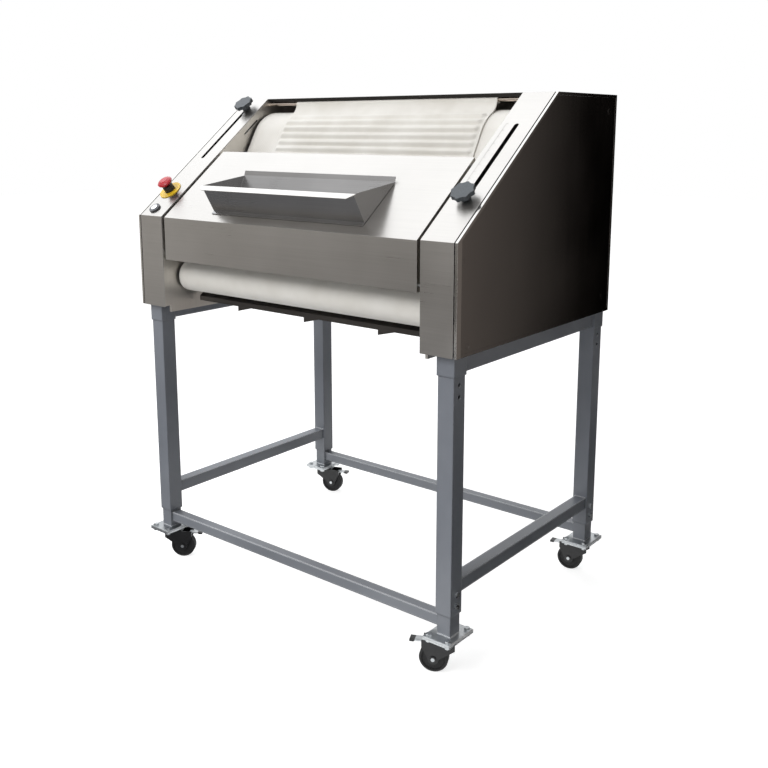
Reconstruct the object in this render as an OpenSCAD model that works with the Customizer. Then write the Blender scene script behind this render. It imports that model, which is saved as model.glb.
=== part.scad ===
// Baguette moulder on a wheeled stand, millimetres, Z up, floor at Z = 0.
// Origin under the middle of the footprint, front of the machine towards -Y.

/* [Body] */
// overall width across both side panels
body_w = 1000; // [900:10:1100]
// width of each side housing
side_w = 91; // [80:1:110]
// depth of the side housings
body_d = 680; // [620:5:740]
// height of the housing underside above the floor
base_z = 712; // [640:1:800]
// height of the upright front face of the housings
front_h = 234; // [200:1:280]
// depth covered by the sloping face
slope_run = 386; // [340:1:430]
// height gained by the sloping face
slope_rise = 300; // [260:1:340]
// housing and cover sheet thickness
sheet = 1.5; // [1:0.1:3]
// thickness of the two bearing side plates
plate_t = 6; // [4:0.5:10]
// how far the bearing plates hang below the housings
plate_drop = 15; // [8:1:30]
// dark gap between housing sheet and side panel
panel_gap = 3; // [1:0.5:6]
// depth of the side panel rim
panel_rim = 6; // [4:0.5:10]
// width of the raised strip along the panel's front edge
strip_front = 16; // [8:1:24]
// width of the raised strip along the panel's other edges
strip_edge = 7; // [4:0.5:12]
// height of the raised strip
strip_h = 0.5; // [0.2:0.1:0.8]
// gap from the front cover to each bearing plate
cover_gap = 10; // [5:0.5:16]
// height of the upright part of the front cover
cover_front_h = 109; // [80:1:140]
// length of the front cover up the slope
cover_slope_l = 261; // [220:1:300]
// how far the front cover lies under the housing faces
cover_sink = 1.5; // [0.5:0.1:4]
// depth of the folded side flanges of the front cover
cover_flange = 25; // [12:1:32]
// height of the front lip of the rear cover
rear_lip = 9; // [5:0.5:20]

/* [Stand] */
// square leg tube
leg_tube = 40; // [35:1:50]
// leg tube wall
leg_wall = 2.5; // [1.5:0.1:4]
// distance of the legs' middle from the body's sides
leg_in = 36; // [24:1:60]
// leg spacing front to back
leg_dy = 623; // [560:1:680]
// housing front ahead of the front leg centre
front_reach = 37; // [25:1:60]
// height of the lower end of the leg tubes
leg_low_z = 139; // [120:1:180]
// wall of the sockets that hold the leg tops
socket_wall = 2; // [1.5:0.1:4]
// how far the leg sockets reach below the upper side rails
socket_below = 4; // [1:1:20]
// height of the upper side rails
top_rail_h = 40; // [25:1:50]
// width of the upper and lower side rails
side_rail = 30; // [20:1:40]
// top of the lower side rails
side_rail_z = 213; // [180:1:300]
// square tube of the front and rear base rails
base_rail = 25; // [20:1:40]
// top of the base rails
base_rail_z = 133; // [115:1:160]
// wall of the stub posts and rails
tube_wall = 2; // [1.5:0.1:4]
// top of the stub posts inside the legs
stub_top_z = 222; // [190:1:260]
// upper of the two bolts through each leg
bolt_hi_z = 186; // [160:1:210]
// lower of the two bolts through each leg
bolt_lo_z = 160; // [145:1:175]
// spare holes near the top of the legs
leg_hole_z = 650; // [560:1:680]
// spacing of the spare holes
leg_hole_pitch = 26; // [15:1:50]
// bolt shank diameter
bolt_d = 8; // [6:0.5:10]
// bolt head across
bolt_head_d = 14; // [10:0.5:18]
// bolt head height
bolt_head_h = 5; // [3:0.5:8]

/* [Casters] */
// top of the foot plates
foot_z = 92; // [80:1:120]
// foot plate thickness
foot_t = 5; // [3:0.5:8]
// plate size side to side
foot_w = 70; // [60:1:90]
// plate size front to back
foot_l = 92; // [70:1:110]
// plate bolt spacing side to side
foot_bolt_dx = 50; // [40:1:70]
// plate bolt spacing front to back
foot_bolt_dy = 72; // [50:1:90]
// caster plate thickness
caster_plate_t = 3.5; // [2:0.5:6]
// swivel race diameter
race_d = 46; // [36:1:56]
// swivel race height
race_h = 8; // [5:0.5:12]
// king pin diameter
king_d = 12; // [8:0.5:16]
// caster wheel diameter
wheel_d = 65; // [50:1:80]
// caster wheel width
wheel_w = 24; // [18:1:32]
// wheel axle diameter
axle_d = 10; // [6:0.5:14]
// offset of the wheel behind the swivel
trail = 30; // [20:1:45]
// fork sheet thickness
fork_t = 2.5; // [2:0.1:4]
// clear space between wheel and fork
fork_gap = 2; // [1:0.5:4]
// trailing direction of the front left wheel
caster_fl_deg = 35; // [0:1:360]
// trailing direction of the front right wheel
caster_fr_deg = 205; // [0:1:360]
// trailing direction of the rear left wheel
caster_rl_deg = 20; // [0:1:360]
// trailing direction of the rear right wheel
caster_rr_deg = 190; // [0:1:360]
// pedal pivot along the trail
pedal_u = 50; // [46:1:54]
// pedal pivot height
pedal_z = 66; // [60:0.5:70]
// pedal length
pedal_l = 34; // [24:1:45]
// pedal width
pedal_w = 20; // [12:1:24]
// pedal thickness
pedal_t = 3; // [2:0.5:5]
// pedal pivot pin diameter
pedal_pin_d = 5; // [4:0.5:7]
// pedal barrel diameter
pedal_barrel_d = 9; // [8:0.5:12]

/* [Belt and rollers] */
// front roller centre behind the front face
front_roller_y = 83; // [78:1:88]
// front roller centre height
front_roller_z = 788; // [780:1:796]
// front roller diameter under the belt
front_roller_d = 73; // [68:1:80]
// top drum centre behind the front face
drum_y = 413; // [380:1:440]
// top drum centre height
drum_z = 1108; // [1080:1:1130]
// top drum diameter under the belt
drum_d = 194; // [150:1:220]
// bend roller centre behind the front face
bend_y = 205; // [190:1:230]
// bend roller centre height
bend_z = 995; // [970:1:1020]
// bend roller diameter
bend_d = 48; // [36:1:60]
// felt belt thickness
belt_t = 3; // [2:0.1:6]
// gap between the rollers' ends and the bearing plates
roller_end = 17; // [10:1:40]
// wall of the drum's and the front roller's tubes
roller_wall = 5; // [3:0.5:10]
// end discs of the drum and the front roller
disc_t = 8; // [5:1:14]
// diameter of the round openings in the drum's end discs
drum_vent_d = 44; // [20:2:60]
// diameter of the round openings in the front roller's end discs
front_vent_d = 16; // [8:1:22]
// front roller shaft diameter
front_shaft_d = 25; // [16:1:35]
// drum shaft diameter
drum_shaft_d = 30; // [20:1:40]
// small roller shaft diameter
small_shaft_d = 16; // [12:1:20]
// feed roller diameter
feed_d = 50; // [40:1:60]
// fixed feed roller centre behind the front face
feed_y = 50; // [46:1:60]
// feed roller centre height
feed_z = 939; // [930:1:945]
// feed roller face width
feed_w = 560; // [500:5:700]
// smallest gap between the feed rollers
feed_gap = 1.5; // [1:0.1:4]
// opening travel of the moving feed roller
feed_open = 8; // [4:0.5:10]

/* [Cloth] */
// bare belt to the left of the ribbed cloth
cloth_bare_l = 92; // [50:2:140]
// bare belt to the right of the ribbed cloth
cloth_bare_r = 62; // [40:2:140]
// cloth thickness
cloth_t = 3; // [2:0.1:5]
// height of the soft ribs
rib_h = 6; // [2:0.5:10]
// rib spacing along the cloth
rib_pitch = 20; // [14:1:30]
// number of ribs
rib_n = 9; // [5:1:11]
// cloth rod diameter
rod_d = 10; // [8:1:14]
// cloth rod behind the front face
rod_y = 396; // [392:1:402]
// cloth rod height
rod_z = 1232; // [1228:1:1236]

/* [Hopper] */
// hopper width
hopper_w = 480; // [400:10:560]
// hopper front wall along the slope
hopper_s0 = 35; // [30:1:45]
// hopper rear edge along the slope
hopper_s1 = 169; // [150:1:185]
// height of the front wall off the slope
hopper_h = 72.3; // [60:0.1:80]
// lean of the front wall top
hopper_lean = 10; // [4:1:15]
// front lip folded forward off the top of the wall
lip_fold = 15; // [8:1:18]
// how far the lip's ends stand out beyond the side walls
lip_ear = 6; // [0:1:12]
// slant of the lip's ends
lip_slant = 18; // [8:1:24]

/* [Pressure board] */
// front edge of the board behind the front face
board_y = 103; // [98:1:108]
// height of the front edge of the board
board_z = 730.5; // [726:0.5:735]
// board length
board_l = 380; // [320:5:400]
// board sheet thickness
board_t = 4; // [3:0.5:6]
// height of the front lip of the board
board_lip = 12; // [8:1:20]
// height of the three pointed tabs
tab_h = 12; // [6:1:16]
// width of the pointed tabs
tab_w = 48; // [30:1:60]
// spacing of the pointed tabs
tab_pitch = 230; // [180:5:260]
// middle tab's distance to the left of the middle
tab_left = 15; // [0:1:40]
// opening travel of the board
board_open = 14; // [8:1:18]
// board guide rod diameter
guide_d = 10; // [8:1:14]
// first guide rod along the board
guide_p0 = 60; // [40:5:90]
// second guide rod along the board
guide_p1 = 320; // [280:5:340]

/* [Adjusters] */
// left slot's distance from the body's left side
slot_in_l = 43; // [38:1:48]
// right slot's distance from the body's right side
slot_in_r = 50; // [47:1:53]
// slot width
slot_w = 11; // [9:0.5:14]
// left slot lower end up the slope
slot_l0 = 230; // [200:1:260]
// left slot upper end up the slope
slot_l1 = 456; // [430:1:465]
// right slot lower end up the slope
slot_r0 = 116; // [105:1:140]
// right slot upper end up the slope
slot_r1 = 376; // [350:1:400]
// slider key length in the slot
key_l = 24; // [16:1:40]
// star knob diameter
knob_d = 54; // [40:1:64]
// star knob top height off the slope
knob_top = 24; // [18:1:34]
// star knob head thickness
knob_head = 10; // [6:1:16]
// star knob hub diameter
knob_hub_d = 22; // [16:1:28]
// number of knob lobes
knob_lobes = 8; // [5:1:10]
// stud diameter
stud_d = 10; // [8:1:12]
// slider bar thickness
bar_t = 5; // [4:0.5:8]
// cam pin diameter
cam_pin_d = 8; // [6:0.5:10]
// left cam pin up the slope
cam_l_s = 220; // [212:1:226]
// left cam pin under the slope
cam_l_n = 45; // [40:1:50]
// right cam pin up the slope
cam_r_s = 250; // [246:1:254]
// right cam pin under the slope
cam_r_n = 80; // [76:1:84]

/* [Controls] */
// stop button's distance from the body's left side
stop_in = 36; // [32:1:48]
// stop button up the slope
stop_s = 98; // [85:1:115]
// stop button head diameter
stop_d = 40; // [30:1:45]
// yellow collar diameter
collar_d = 60; // [45:1:64]
// stop button head height off the slope
stop_h = 36; // [28:1:45]
// push travel of the stop button
stop_push = 5; // [3:0.5:8]
// start button's distance from the body's left side
start_in = 41; // [35:1:50]
// start button up the slope
start_s = 27; // [24:1:35]
// start bezel diameter
bezel_d = 30; // [24:1:34]
// push travel of the start button
start_push = 3; // [2:0.5:4]

/* [Drive] */
// motor shaft behind the front face
motor_y = 545; // [520:5:580]
// motor shaft height
motor_z = 845; // [820:5:880]
// motor body diameter
motor_d = 110; // [90:5:130]
// motor body length
motor_l = 190; // [150:5:240]
// gear case size
gear_case = 100; // [80:5:120]
// gear case width
gear_case_w = 70; // [50:5:90]
// motor shaft diameter
motor_shaft_d = 20; // [14:1:25]
// motor sprocket pitch radius
sprocket_m = 30; // [24:1:40]
// drum sprocket pitch radius on the motor chain
sprocket_d = 60; // [50:1:64]
// drum sprocket pitch radius on the feed chain
sprocket_f = 55; // [45:1:60]
// feed roller sprocket pitch radius
sprocket_a = 22; // [18:1:24]
// chain thickness
chain_t = 7; // [5:0.5:9]
// chain width
chain_w = 8; // [6:0.5:10]
// feed gear tip radius
gear_tip = 31; // [29:0.5:32]
// feed gear root radius
gear_root = 20; // [18:0.5:21]
// feed gear teeth
gear_n = 9; // [8:1:12]
// feed gear width
gear_w = 8; // [6:0.5:10]

/* [Hidden] */
$fn = 48;
fine_fn = 96;
// clearances: running fit, slip fit and open gap
run = 0.08;
slip = 0.2;
clear = 0.5;
over = 1;
half = 0.5;
bend_line_z = base_z + front_h;
top_z = bend_line_z + slope_rise;
slope_deg = atan2(slope_rise, slope_run);
lip_s = hopper_s0 + hopper_lean - lip_fold;
lip_n = hopper_h;
lip_out = lip_n * sin(slope_deg) - lip_s * cos(slope_deg);
// the legs stand so that the whole footprint is centred on Y = 0
leg_yf = -(leg_dy + foot_l / 2 - front_reach - lip_out) / 2;
leg_yr = leg_yf + leg_dy;
leg_ys = [leg_yf, leg_yr];
y_front = leg_yf - front_reach;
y_back = y_front + body_d;
slope_l = sqrt(slope_run * slope_run + slope_rise * slope_rise);
x_out = body_w / 2;
x_in = x_out - side_w;
x_plate = x_in + plate_t;
x_panel = x_out - panel_rim;
x_sheet = x_panel - panel_gap;
cover_x = x_in - cover_gap;
plate_z = base_z - plate_drop;
plate_inset = 20;
leg_x = x_out - leg_in;
stub = leg_tube - 2 * leg_wall - 2 * slip;
foot_low = foot_z - foot_t;
race_low = foot_low - caster_plate_t - race_h;
wheel_r = wheel_d / 2;
drum_r = drum_d / 2;
front_r = front_roller_d / 2;
bend_r = bend_d / 2;
feed_r = feed_d / 2;
belt_in = clear;
drum_R = drum_r + belt_in + belt_t;
front_R = front_r + belt_in + belt_t;
bend_R = bend_r + belt_in;
roller_x = x_in - roller_end;
roller_w = 2 * roller_x;
cloth_x0 = cloth_bare_l - roller_x;
cloth_x1 = roller_x - cloth_bare_r;
slot_xl = slot_in_l - x_out;
slot_xr = x_out - slot_in_r;
stop_x = stop_in - x_out;
start_x = start_in - x_out;
feed_x = feed_w / 2;
feed2_y = feed_y + feed_d + feed_gap;

function yy(v) = y_front + v;
// point in the side view from a place on the slope, s up the slope, n off it
function sl(s, n) = [yy(s * cos(slope_deg) - n * sin(slope_deg)),
    bend_line_z + s * sin(slope_deg) + n * cos(slope_deg)];
function polar(c, r, a) = [c[0] + r * cos(a), c[1] + r * sin(a)];
function ang(p, q) = atan2(q[1] - p[1], q[0] - p[0]);
function dist(p, q) = norm(q - p);
function arc(c, r, a0, a1, n) = [for (i = [0:n]) polar(c, r, a0 + (a1 - a0) * i / n)];

p_front = [yy(front_roller_y), front_roller_z];
p_drum = [yy(drum_y), drum_z];
p_bend = [yy(bend_y), bend_z];
p_feed = [yy(feed_y), feed_z];
p_feed2 = [yy(feed2_y), feed_z];
p_motor = [yy(motor_y), motor_z];
p_rod = [yy(rod_y), rod_z];
// angles of the straight belt runs
run_top = ang(p_bend, p_drum) + asin((drum_R + bend_R) / dist(p_bend, p_drum));
run_mid = ang(p_front, p_bend) - asin((front_R + bend_R) / dist(p_front, p_bend));
run_low = ang(p_front, p_drum) - asin((drum_R - front_R) / dist(p_front, p_drum));
quarter = 90;
turn = 360;
// cam slot angle for a follower that moves q along phi while the slider moves t
function cam_deg(q, t, phi) = atan((-q / t) * sin(phi) / (1 + (-q / t) * cos(phi)));
slide_l = slot_l1 - slot_l0 - key_l;
slide_r = slot_r1 - slot_r0 - key_l;
knob_l_s = slot_l1 - key_l / 2;
knob_r_s = slot_r0 + key_l / 2;
cam_l_deg = cam_deg(feed_open, -slide_l, -slope_deg);
cam_r_deg = cam_deg(board_open, slide_r, run_low - quarter - slope_deg);
board_p = [yy(board_y), board_z];
function bd(p, q) = [board_p[0] + p * cos(run_low) - q * sin(run_low),
    board_p[1] + p * sin(run_low) + q * cos(run_low)];

// list of the sub-parts

// drawing helpers
module along_x(x0, x1) translate([x0, 0, 0]) rotate([quarter, 0, quarter]) linear_extrude(x1 - x0) children();
module rod(p, d, x0, x1) translate([x0, p[0], p[1]]) rotate([0, quarter, 0]) cylinder(d = d, h = x1 - x0);
module both() for (m = [0, 1]) mirror([m, 0, 0]) children();
module on_slope(x, s, n) translate([x, sl(s, n)[0], sl(s, n)[1]]) rotate([slope_deg, 0, 0]) children();
module box(lo, hi) translate(lo) cube(hi - lo);
module strip(a, b, t) {
    d = (b - a) / norm(b - a);
    polygon([a, b, b + t * [-d[1], d[0]], a + t * [-d[1], d[0]]]);
}
module tube_z(x, y, w, wall, z0, z1) translate([x, y, z0]) linear_extrude(z1 - z0) difference() {
    square(w, center = true);
    square(w - 2 * wall, center = true);
}

// stand
leg_hole_d = bolt_d + 2 * slip;
module leg_frame(x) color("slategray") difference() {
    union() {
        for (y = leg_ys) tube_z(x, y, leg_tube, leg_wall, leg_low_z, base_z - over);
        difference() {
            box([x - side_rail / 2, leg_yf + leg_tube / 2, side_rail_z - side_rail],
                [x + side_rail / 2, leg_yr - leg_tube / 2, side_rail_z]);
            box([x - side_rail / 2 + tube_wall, leg_yf, side_rail_z - side_rail + tube_wall],
                [x + side_rail / 2 - tube_wall, leg_yr, side_rail_z - tube_wall]);
        }
    }
    for (y = leg_ys) for (z = [bolt_lo_z, bolt_hi_z, leg_hole_z, leg_hole_z - leg_hole_pitch])
        rod([y, z], leg_hole_d, x > 0 ? x : x - leg_tube, x > 0 ? x + leg_tube : x);
}
module left_leg_frame() leg_frame(-leg_x);
module right_leg_frame() leg_frame(leg_x);

module base_rail_at(y) color("slategray") difference() {
    union() {
        for (x = [-leg_x, leg_x]) {
            tube_z(x, y, stub, tube_wall, foot_z, stub_top_z);
            box([x - foot_w / 2, y - foot_l / 2, foot_low], [x + foot_w / 2, y + foot_l / 2, foot_z]);
        }
        difference() {
            box([-leg_x + stub / 2, y - base_rail / 2, base_rail_z - base_rail],
                [leg_x - stub / 2, y + base_rail / 2, base_rail_z]);
            box([-leg_x, y - base_rail / 2 + tube_wall, base_rail_z - base_rail + tube_wall],
                [leg_x, y + base_rail / 2 - tube_wall, base_rail_z - tube_wall]);
        }
    }
    for (x = [-leg_x, leg_x]) {
        for (z = [bolt_lo_z, bolt_hi_z])
            rod([y, z], leg_hole_d, x > 0 ? x : x - leg_tube, x > 0 ? x + leg_tube : x);
        foot_holes(x, y, foot_low - over, foot_z + over);
    }
}
module foot_holes(x, y, z0, z1) for (i = [-half, half]) for (j = [-half, half])
    translate([x + i * foot_bolt_dx, y + j * foot_bolt_dy, z0])
        cylinder(d = leg_hole_d, h = z1 - z0);
module front_base_rail() base_rail_at(leg_yf);
module rear_base_rail() base_rail_at(leg_yr);
bolt_l = leg_wall + slip + tube_wall;
module stand_bolts() color("silver") both() for (y = leg_ys) for (z = [bolt_lo_z, bolt_hi_z]) {
    rod([y, z], bolt_d, leg_x + leg_tube / 2 - bolt_l, leg_x + leg_tube / 2);
    translate([leg_x + leg_tube / 2, y, z]) rotate([0, quarter, 0])
        cylinder(d = bolt_head_d, h = bolt_head_h, $fn = hex_n);
}
hex_n = 6;
bolt_under = 6;
module caster_bolts() color("silver") for (x = [-leg_x, leg_x]) for (y = leg_ys)
    for (i = [-half, half]) for (j = [-half, half])
        translate([x + i * foot_bolt_dx, y + j * foot_bolt_dy, foot_low - caster_plate_t - bolt_under]) {
            cylinder(d = bolt_d, h = foot_t + caster_plate_t + bolt_under);
            translate([0, 0, foot_t + caster_plate_t + bolt_under])
                cylinder(d = bolt_head_d, h = bolt_head_h, $fn = hex_n);
            translate([0, 0, bolt_under - bolt_head_h])
                cylinder(d = bolt_head_d, h = bolt_head_h, $fn = hex_n);
        }

// casters
king_low = race_low - fork_t - 2 * clear - bolt_head_h;
module caster_plates() color("silver") for (x = [-leg_x, leg_x]) for (y = leg_ys) difference() {
    union() {
        box([x - foot_w / 2, y - foot_l / 2, foot_low - caster_plate_t],
            [x + foot_w / 2, y + foot_l / 2, foot_low]);
        translate([x, y, race_low]) cylinder(d = race_d, h = race_h);
        translate([x, y, king_low]) cylinder(d = king_d, h = race_low - king_low);
        translate([x, y, king_low]) cylinder(d = king_d + bolt_head_h, h = bolt_head_h);
    }
    foot_holes(x, y, foot_low - caster_plate_t - over, foot_low + over);
}
fork_top = race_low - clear;
cheek = wheel_w / 2 + fork_gap;
cheek_rear = 18;
cheek_low = 12;
pin_boss = 6;
module caster_at(x, y, a) translate([x, y, 0]) rotate([0, 0, a]) children();
// the wheel axis lies across the trail direction
module across(p, d, w) translate([p[0], w / 2, p[1]]) rotate([quarter, 0, 0]) cylinder(d = d, h = w);
module fork(x, y, a) color("dimgray") caster_at(x, y, a) difference() {
    union() {
        translate([0, 0, fork_top - fork_t]) cylinder(d = race_d, h = fork_t);
        box([-cheek_rear, -cheek - fork_t, fork_top - fork_t], [trail, cheek + fork_t, fork_top]);
        for (m = [0, 1]) mirror([0, m, 0]) translate([0, cheek + fork_t, 0]) rotate([quarter, 0, 0])
            linear_extrude(fork_t) union() {
                polygon([[-cheek_rear, fork_top], [pedal_u + pin_boss, fork_top],
                    [pedal_u + pin_boss, pedal_z - pin_boss], [trail + cheek_low, wheel_r],
                    [trail - cheek_low, wheel_r], [-cheek_rear, fork_top - cheek_rear]]);
                translate([trail, wheel_r]) circle(cheek_low);
            }
        across([trail, wheel_r], axle_d, 2 * cheek + 2 * fork_t);
        across([trail, wheel_r], axle_d + bolt_head_h, 2 * cheek + 2 * fork_t + bolt_head_h);
        across([pedal_u, pedal_z], pedal_pin_d, 2 * cheek + 2 * fork_t);
    }
    translate([0, 0, fork_top - fork_t - over]) cylinder(d = king_d + 2 * run, h = fork_t + 2 * over);
    difference() {
        across([trail, wheel_r], axle_d + 2 * bolt_head_h, 2 * cheek);
        across([trail, wheel_r], axle_d, 2 * cheek + over);
    }
}
module fork_fl() fork(-leg_x, leg_yf, caster_fl_deg);
module fork_fr() fork(leg_x, leg_yf, caster_fr_deg);
module fork_rl() fork(-leg_x, leg_yr, caster_rl_deg);
module fork_rr() fork(leg_x, leg_yr, caster_rr_deg);
tread = 3;
hub_w = wheel_w + fork_gap;
module wheel(x, y, a) color("dimgray") caster_at(x, y, a) translate([trail, 0, wheel_r])
    rotate([quarter, 0, 0]) rotate_extrude($fn = fine_fn) polygon([[axle_d / 2 + run, -hub_w / 2],
        [axle_d, -hub_w / 2], [axle_d, -wheel_w / 2 + tread], [wheel_r - 2 * tread, -wheel_w / 2 + tread],
        [wheel_r - 2 * tread, -wheel_w / 2], [wheel_r - tread, -wheel_w / 2], [wheel_r, -wheel_w / 2 + tread],
        [wheel_r, wheel_w / 2 - tread], [wheel_r - tread, wheel_w / 2], [wheel_r - 2 * tread, wheel_w / 2],
        [wheel_r - 2 * tread, wheel_w / 2 - tread], [axle_d, wheel_w / 2 - tread], [axle_d, hub_w / 2],
        [axle_d / 2 + run, hub_w / 2]]);
module wheel_fl() wheel(-leg_x, leg_yf, caster_fl_deg);
module wheel_fr() wheel(leg_x, leg_yf, caster_fr_deg);
module wheel_rl() wheel(-leg_x, leg_yr, caster_rl_deg);
module wheel_rr() wheel(leg_x, leg_yr, caster_rr_deg);
pedal_tip = 5;
module pedal(x, y, a) color("silver") caster_at(x, y, a) difference() {
    union() {
        across([pedal_u, pedal_z], pedal_barrel_d, pedal_w);
        box([pedal_u, -pedal_w / 2, pedal_z + pedal_barrel_d / 2 - pedal_t],
            [pedal_u + pedal_l, pedal_w / 2, pedal_z + pedal_barrel_d / 2]);
        box([pedal_u + pedal_l - pedal_w / 2, -pedal_w / 2, pedal_z + pedal_barrel_d / 2 - pedal_tip],
            [pedal_u + pedal_l, pedal_w / 2, pedal_z + pedal_barrel_d / 2]);
    }
    across([pedal_u, pedal_z], pedal_pin_d + 2 * run, pedal_w + over);
}
module pedal_fl() pedal(-leg_x, leg_yf, caster_fl_deg);
module pedal_fr() pedal(leg_x, leg_yf, caster_fr_deg);
module pedal_rl() pedal(-leg_x, leg_yr, caster_rl_deg);
module pedal_rr() pedal(leg_x, leg_yr, caster_rr_deg);

// body shell
profile = [[y_front, base_z], [y_front, bend_line_z], [y_front + slope_run, top_z],
    [y_back, top_z], [y_back, base_z]];
module profile_in(t) intersection() {
    offset(delta = -t) polygon(profile);
    translate([y_front, base_z]) square([body_d, front_h + slope_rise]);
}
socket = leg_tube + 2 * slip + 2 * socket_wall;
foot_pad = 60;
module body_base() color("slategray") {
    both() for (y = leg_ys) tube_z(leg_x, y, socket, socket_wall, base_z - top_rail_h - socket_below, base_z);
    both() difference() {
        box([leg_x - side_rail / 2, leg_yf + socket / 2, base_z - top_rail_h],
            [leg_x + side_rail / 2, leg_yr - socket / 2, base_z]);
        box([leg_x - side_rail / 2 + tube_wall, leg_yf, base_z - top_rail_h + tube_wall],
            [leg_x + side_rail / 2 - tube_wall, leg_yr, base_z - tube_wall]);
    }
    both() box([x_plate, leg_yf + foot_pad, base_z - tube_wall],
        [leg_x - side_rail / 2, leg_yr - foot_pad, base_z]);
    box([-leg_x + socket / 2, leg_yr - side_rail / 2, base_z - side_rail - tube_wall],
        [leg_x - socket / 2, leg_yr + side_rail / 2, base_z - tube_wall - plate_drop]);
}
// bearing seats in the plates: centre, shaft, flange
bear_t = 8;
flange_f = 72;
flange_d = 80;
flange_s = 36;
spigot_add = 12;
seats = [[p_front, front_shaft_d, flange_f], [p_drum, drum_shaft_d, flange_d],
    [p_bend, small_shaft_d, flange_s], [p_feed, small_shaft_d, flange_s + spigot_add]];
block_y0 = -22;
block_y1 = 40;
block_z = 24;
tie_d = 20;
tie_pts = [[yy(body_d - flange_f), top_z - flange_f], [yy(body_d - flange_f), base_z + flange_f],
    [yy(body_d / 2), base_z + flange_s]];
tie_reach = plate_t;
stand_d = 14;
stand_in = 40;
standoffs = [[yy(stand_in / 2), base_z + front_h - stand_in], [yy(stand_in), base_z + stand_in / 2],
    [yy(body_d - stand_in), base_z + stand_in], [yy(body_d - stand_in), top_z - stand_in]];
screw_d = 6;
screw_head = 12;
wall_slot_s = 360;
wall_slot_l = 58;
wall_slot_n = 20;
wall_slot_w = 5;
peg_d = 8;
peg_in = 14;
pegs = [[yy(peg_in), bend_line_z - cover_front_h + peg_in], sl(cover_slope_l - peg_in, -peg_in)];
straight_share = 0.999;
module long_hole(a, b, d) {
    translate(a) circle(d = d);
    translate(b) circle(d = d);
    e = (b - a) / norm(b - a) * d / 2 * straight_share;
    polygon([a + [-e[1], e[0]], b + [-e[1], e[0]], b + [e[1], -e[0]], a + [e[1], -e[0]]]);
}
board_move = board_open * [sin(run_low), -cos(run_low)];
guide_n = -board_t - guide_d / 2;
module bearing_plate() {
    along_x(x_in, x_plate) difference() {
        union() {
            profile_in(sheet + clear);
            translate([yy(plate_inset), plate_z]) square([body_d - 2 * plate_inset, front_h / 2]);
        }
        for (s = seats) translate(s[0]) circle(d = s[1] + spigot_add + 2 * slip);
        translate(p_feed2 + [block_y0, -block_z] - [run, run])
            square([block_y1 - block_y0 + feed_open + 2 * run, 2 * block_z + 2 * run]);
        for (p = [guide_p0, guide_p1])
            long_hole(bd(p, guide_n), bd(p, guide_n) + board_move, guide_d + 2 * run);
        for (t = tie_pts) translate(t) circle(d = tie_d - tie_reach + 2 * run);
        for (p = pegs) translate(p) circle(d = peg_d + 2 * run);
        translate(p_rod) circle(d = rod_d);
        translate(p_motor) circle(d = motor_shaft_d + spigot_add);
        long_hole(sl(wall_slot_s, -wall_slot_n), sl(wall_slot_s + wall_slot_l, -wall_slot_n), wall_slot_w);
    }
    for (s = standoffs) difference() {
        rod(s, stand_d, x_plate, x_out - sheet);
        rod(s, screw_d, x_out - stand_in, x_out);
    }
}
module left_plate() color("silver") mirror([1, 0, 0]) bearing_plate();
module right_plate() color("silver") bearing_plate();
fold = 15;
module housing_shell() {
    along_x(x_in, x_sheet) difference() {
        polygon(profile);
        offset(delta = -sheet) polygon([for (p = profile) [p[0], p[1] == base_z ? base_z - fold : p[1]]]);
    }
    along_x(x_plate, x_plate + sheet) difference() {
        profile_in(sheet / 2);
        offset(delta = -fold) polygon([for (p = profile) [p[0], p[1] == base_z ? base_z - fold : p[1]]]);
        for (s = seats) translate(s[0]) circle(d = s[2] + spigot_add);
        for (p = pegs) translate(p) circle(d = peg_d + spigot_add);
        for (s = standoffs) translate(s) circle(d = stand_d + 2 * clear);
    }
}
module slot_cut(x, s0, s1) on_slope(x, 0, -sheet - over) linear_extrude(sheet + 2 * over)
    long_hole([0, s0 + slot_w / 2], [0, s1 - slot_w / 2], slot_w);
stop_hole = 22;
start_hole = 22;
scale_w = 1;
scale_x = 28;
scale_deep = 0.4;
tick_n = 10;
tick_l = 6;
module left_housing() color("gainsboro") difference() {
    mirror([1, 0, 0]) housing_shell();
    slot_cut(slot_xl, slot_l0, slot_l1);
    on_slope(stop_x, stop_s, -sheet - over) cylinder(d = stop_hole + 2 * slip, h = sheet + 2 * over);
    on_slope(start_x, start_s, -sheet - over) cylinder(d = start_hole + 2 * slip, h = sheet + 2 * over);
}
module right_housing() color("gainsboro") difference() {
    housing_shell();
    slot_cut(slot_xr, slot_r0, slot_r1);
    on_slope(slot_xr - scale_x, slot_r0 + scale_x, -scale_deep) {
        translate([0, 0, 0]) cube([scale_w, slot_r1 - slot_r0 - scale_x, over]);
        for (i = [0:tick_n]) translate([0, i * (slot_r1 - slot_r0 - scale_x - scale_w) / tick_n, 0])
            cube([tick_l, scale_w, over]);
    }
}
module panel_field() intersection() {
    offset(delta = -strip_edge) polygon(profile);
    translate([y_front + strip_front, base_z]) square([body_d, front_h + slope_rise]);
}
module panel() difference() {
    union() {
        along_x(x_out - sheet, x_out) polygon(profile);
        along_x(x_panel, x_out) difference() {
            polygon(profile);
            offset(delta = -sheet) polygon(profile);
        }
    }
    along_x(x_out - strip_h, x_out + over) panel_field();
    for (s = standoffs) {
        rod(s, screw_head + 2 * slip, x_out - sheet / 2, x_out + over);
        rod(s, screw_d + 2 * slip, x_panel, x_out);
    }
}
module left_panel() color("dimgray") mirror([1, 0, 0]) panel();
module right_panel() color("dimgray") panel();
screw_l = 16;
module panel_screws() color("silver") both() for (s = standoffs) {
    rod(s, screw_head, x_out - sheet / 2, x_out - strip_h / 2);
    rod(s, screw_d, x_out - screw_l, x_out - sheet / 2);
}
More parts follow.
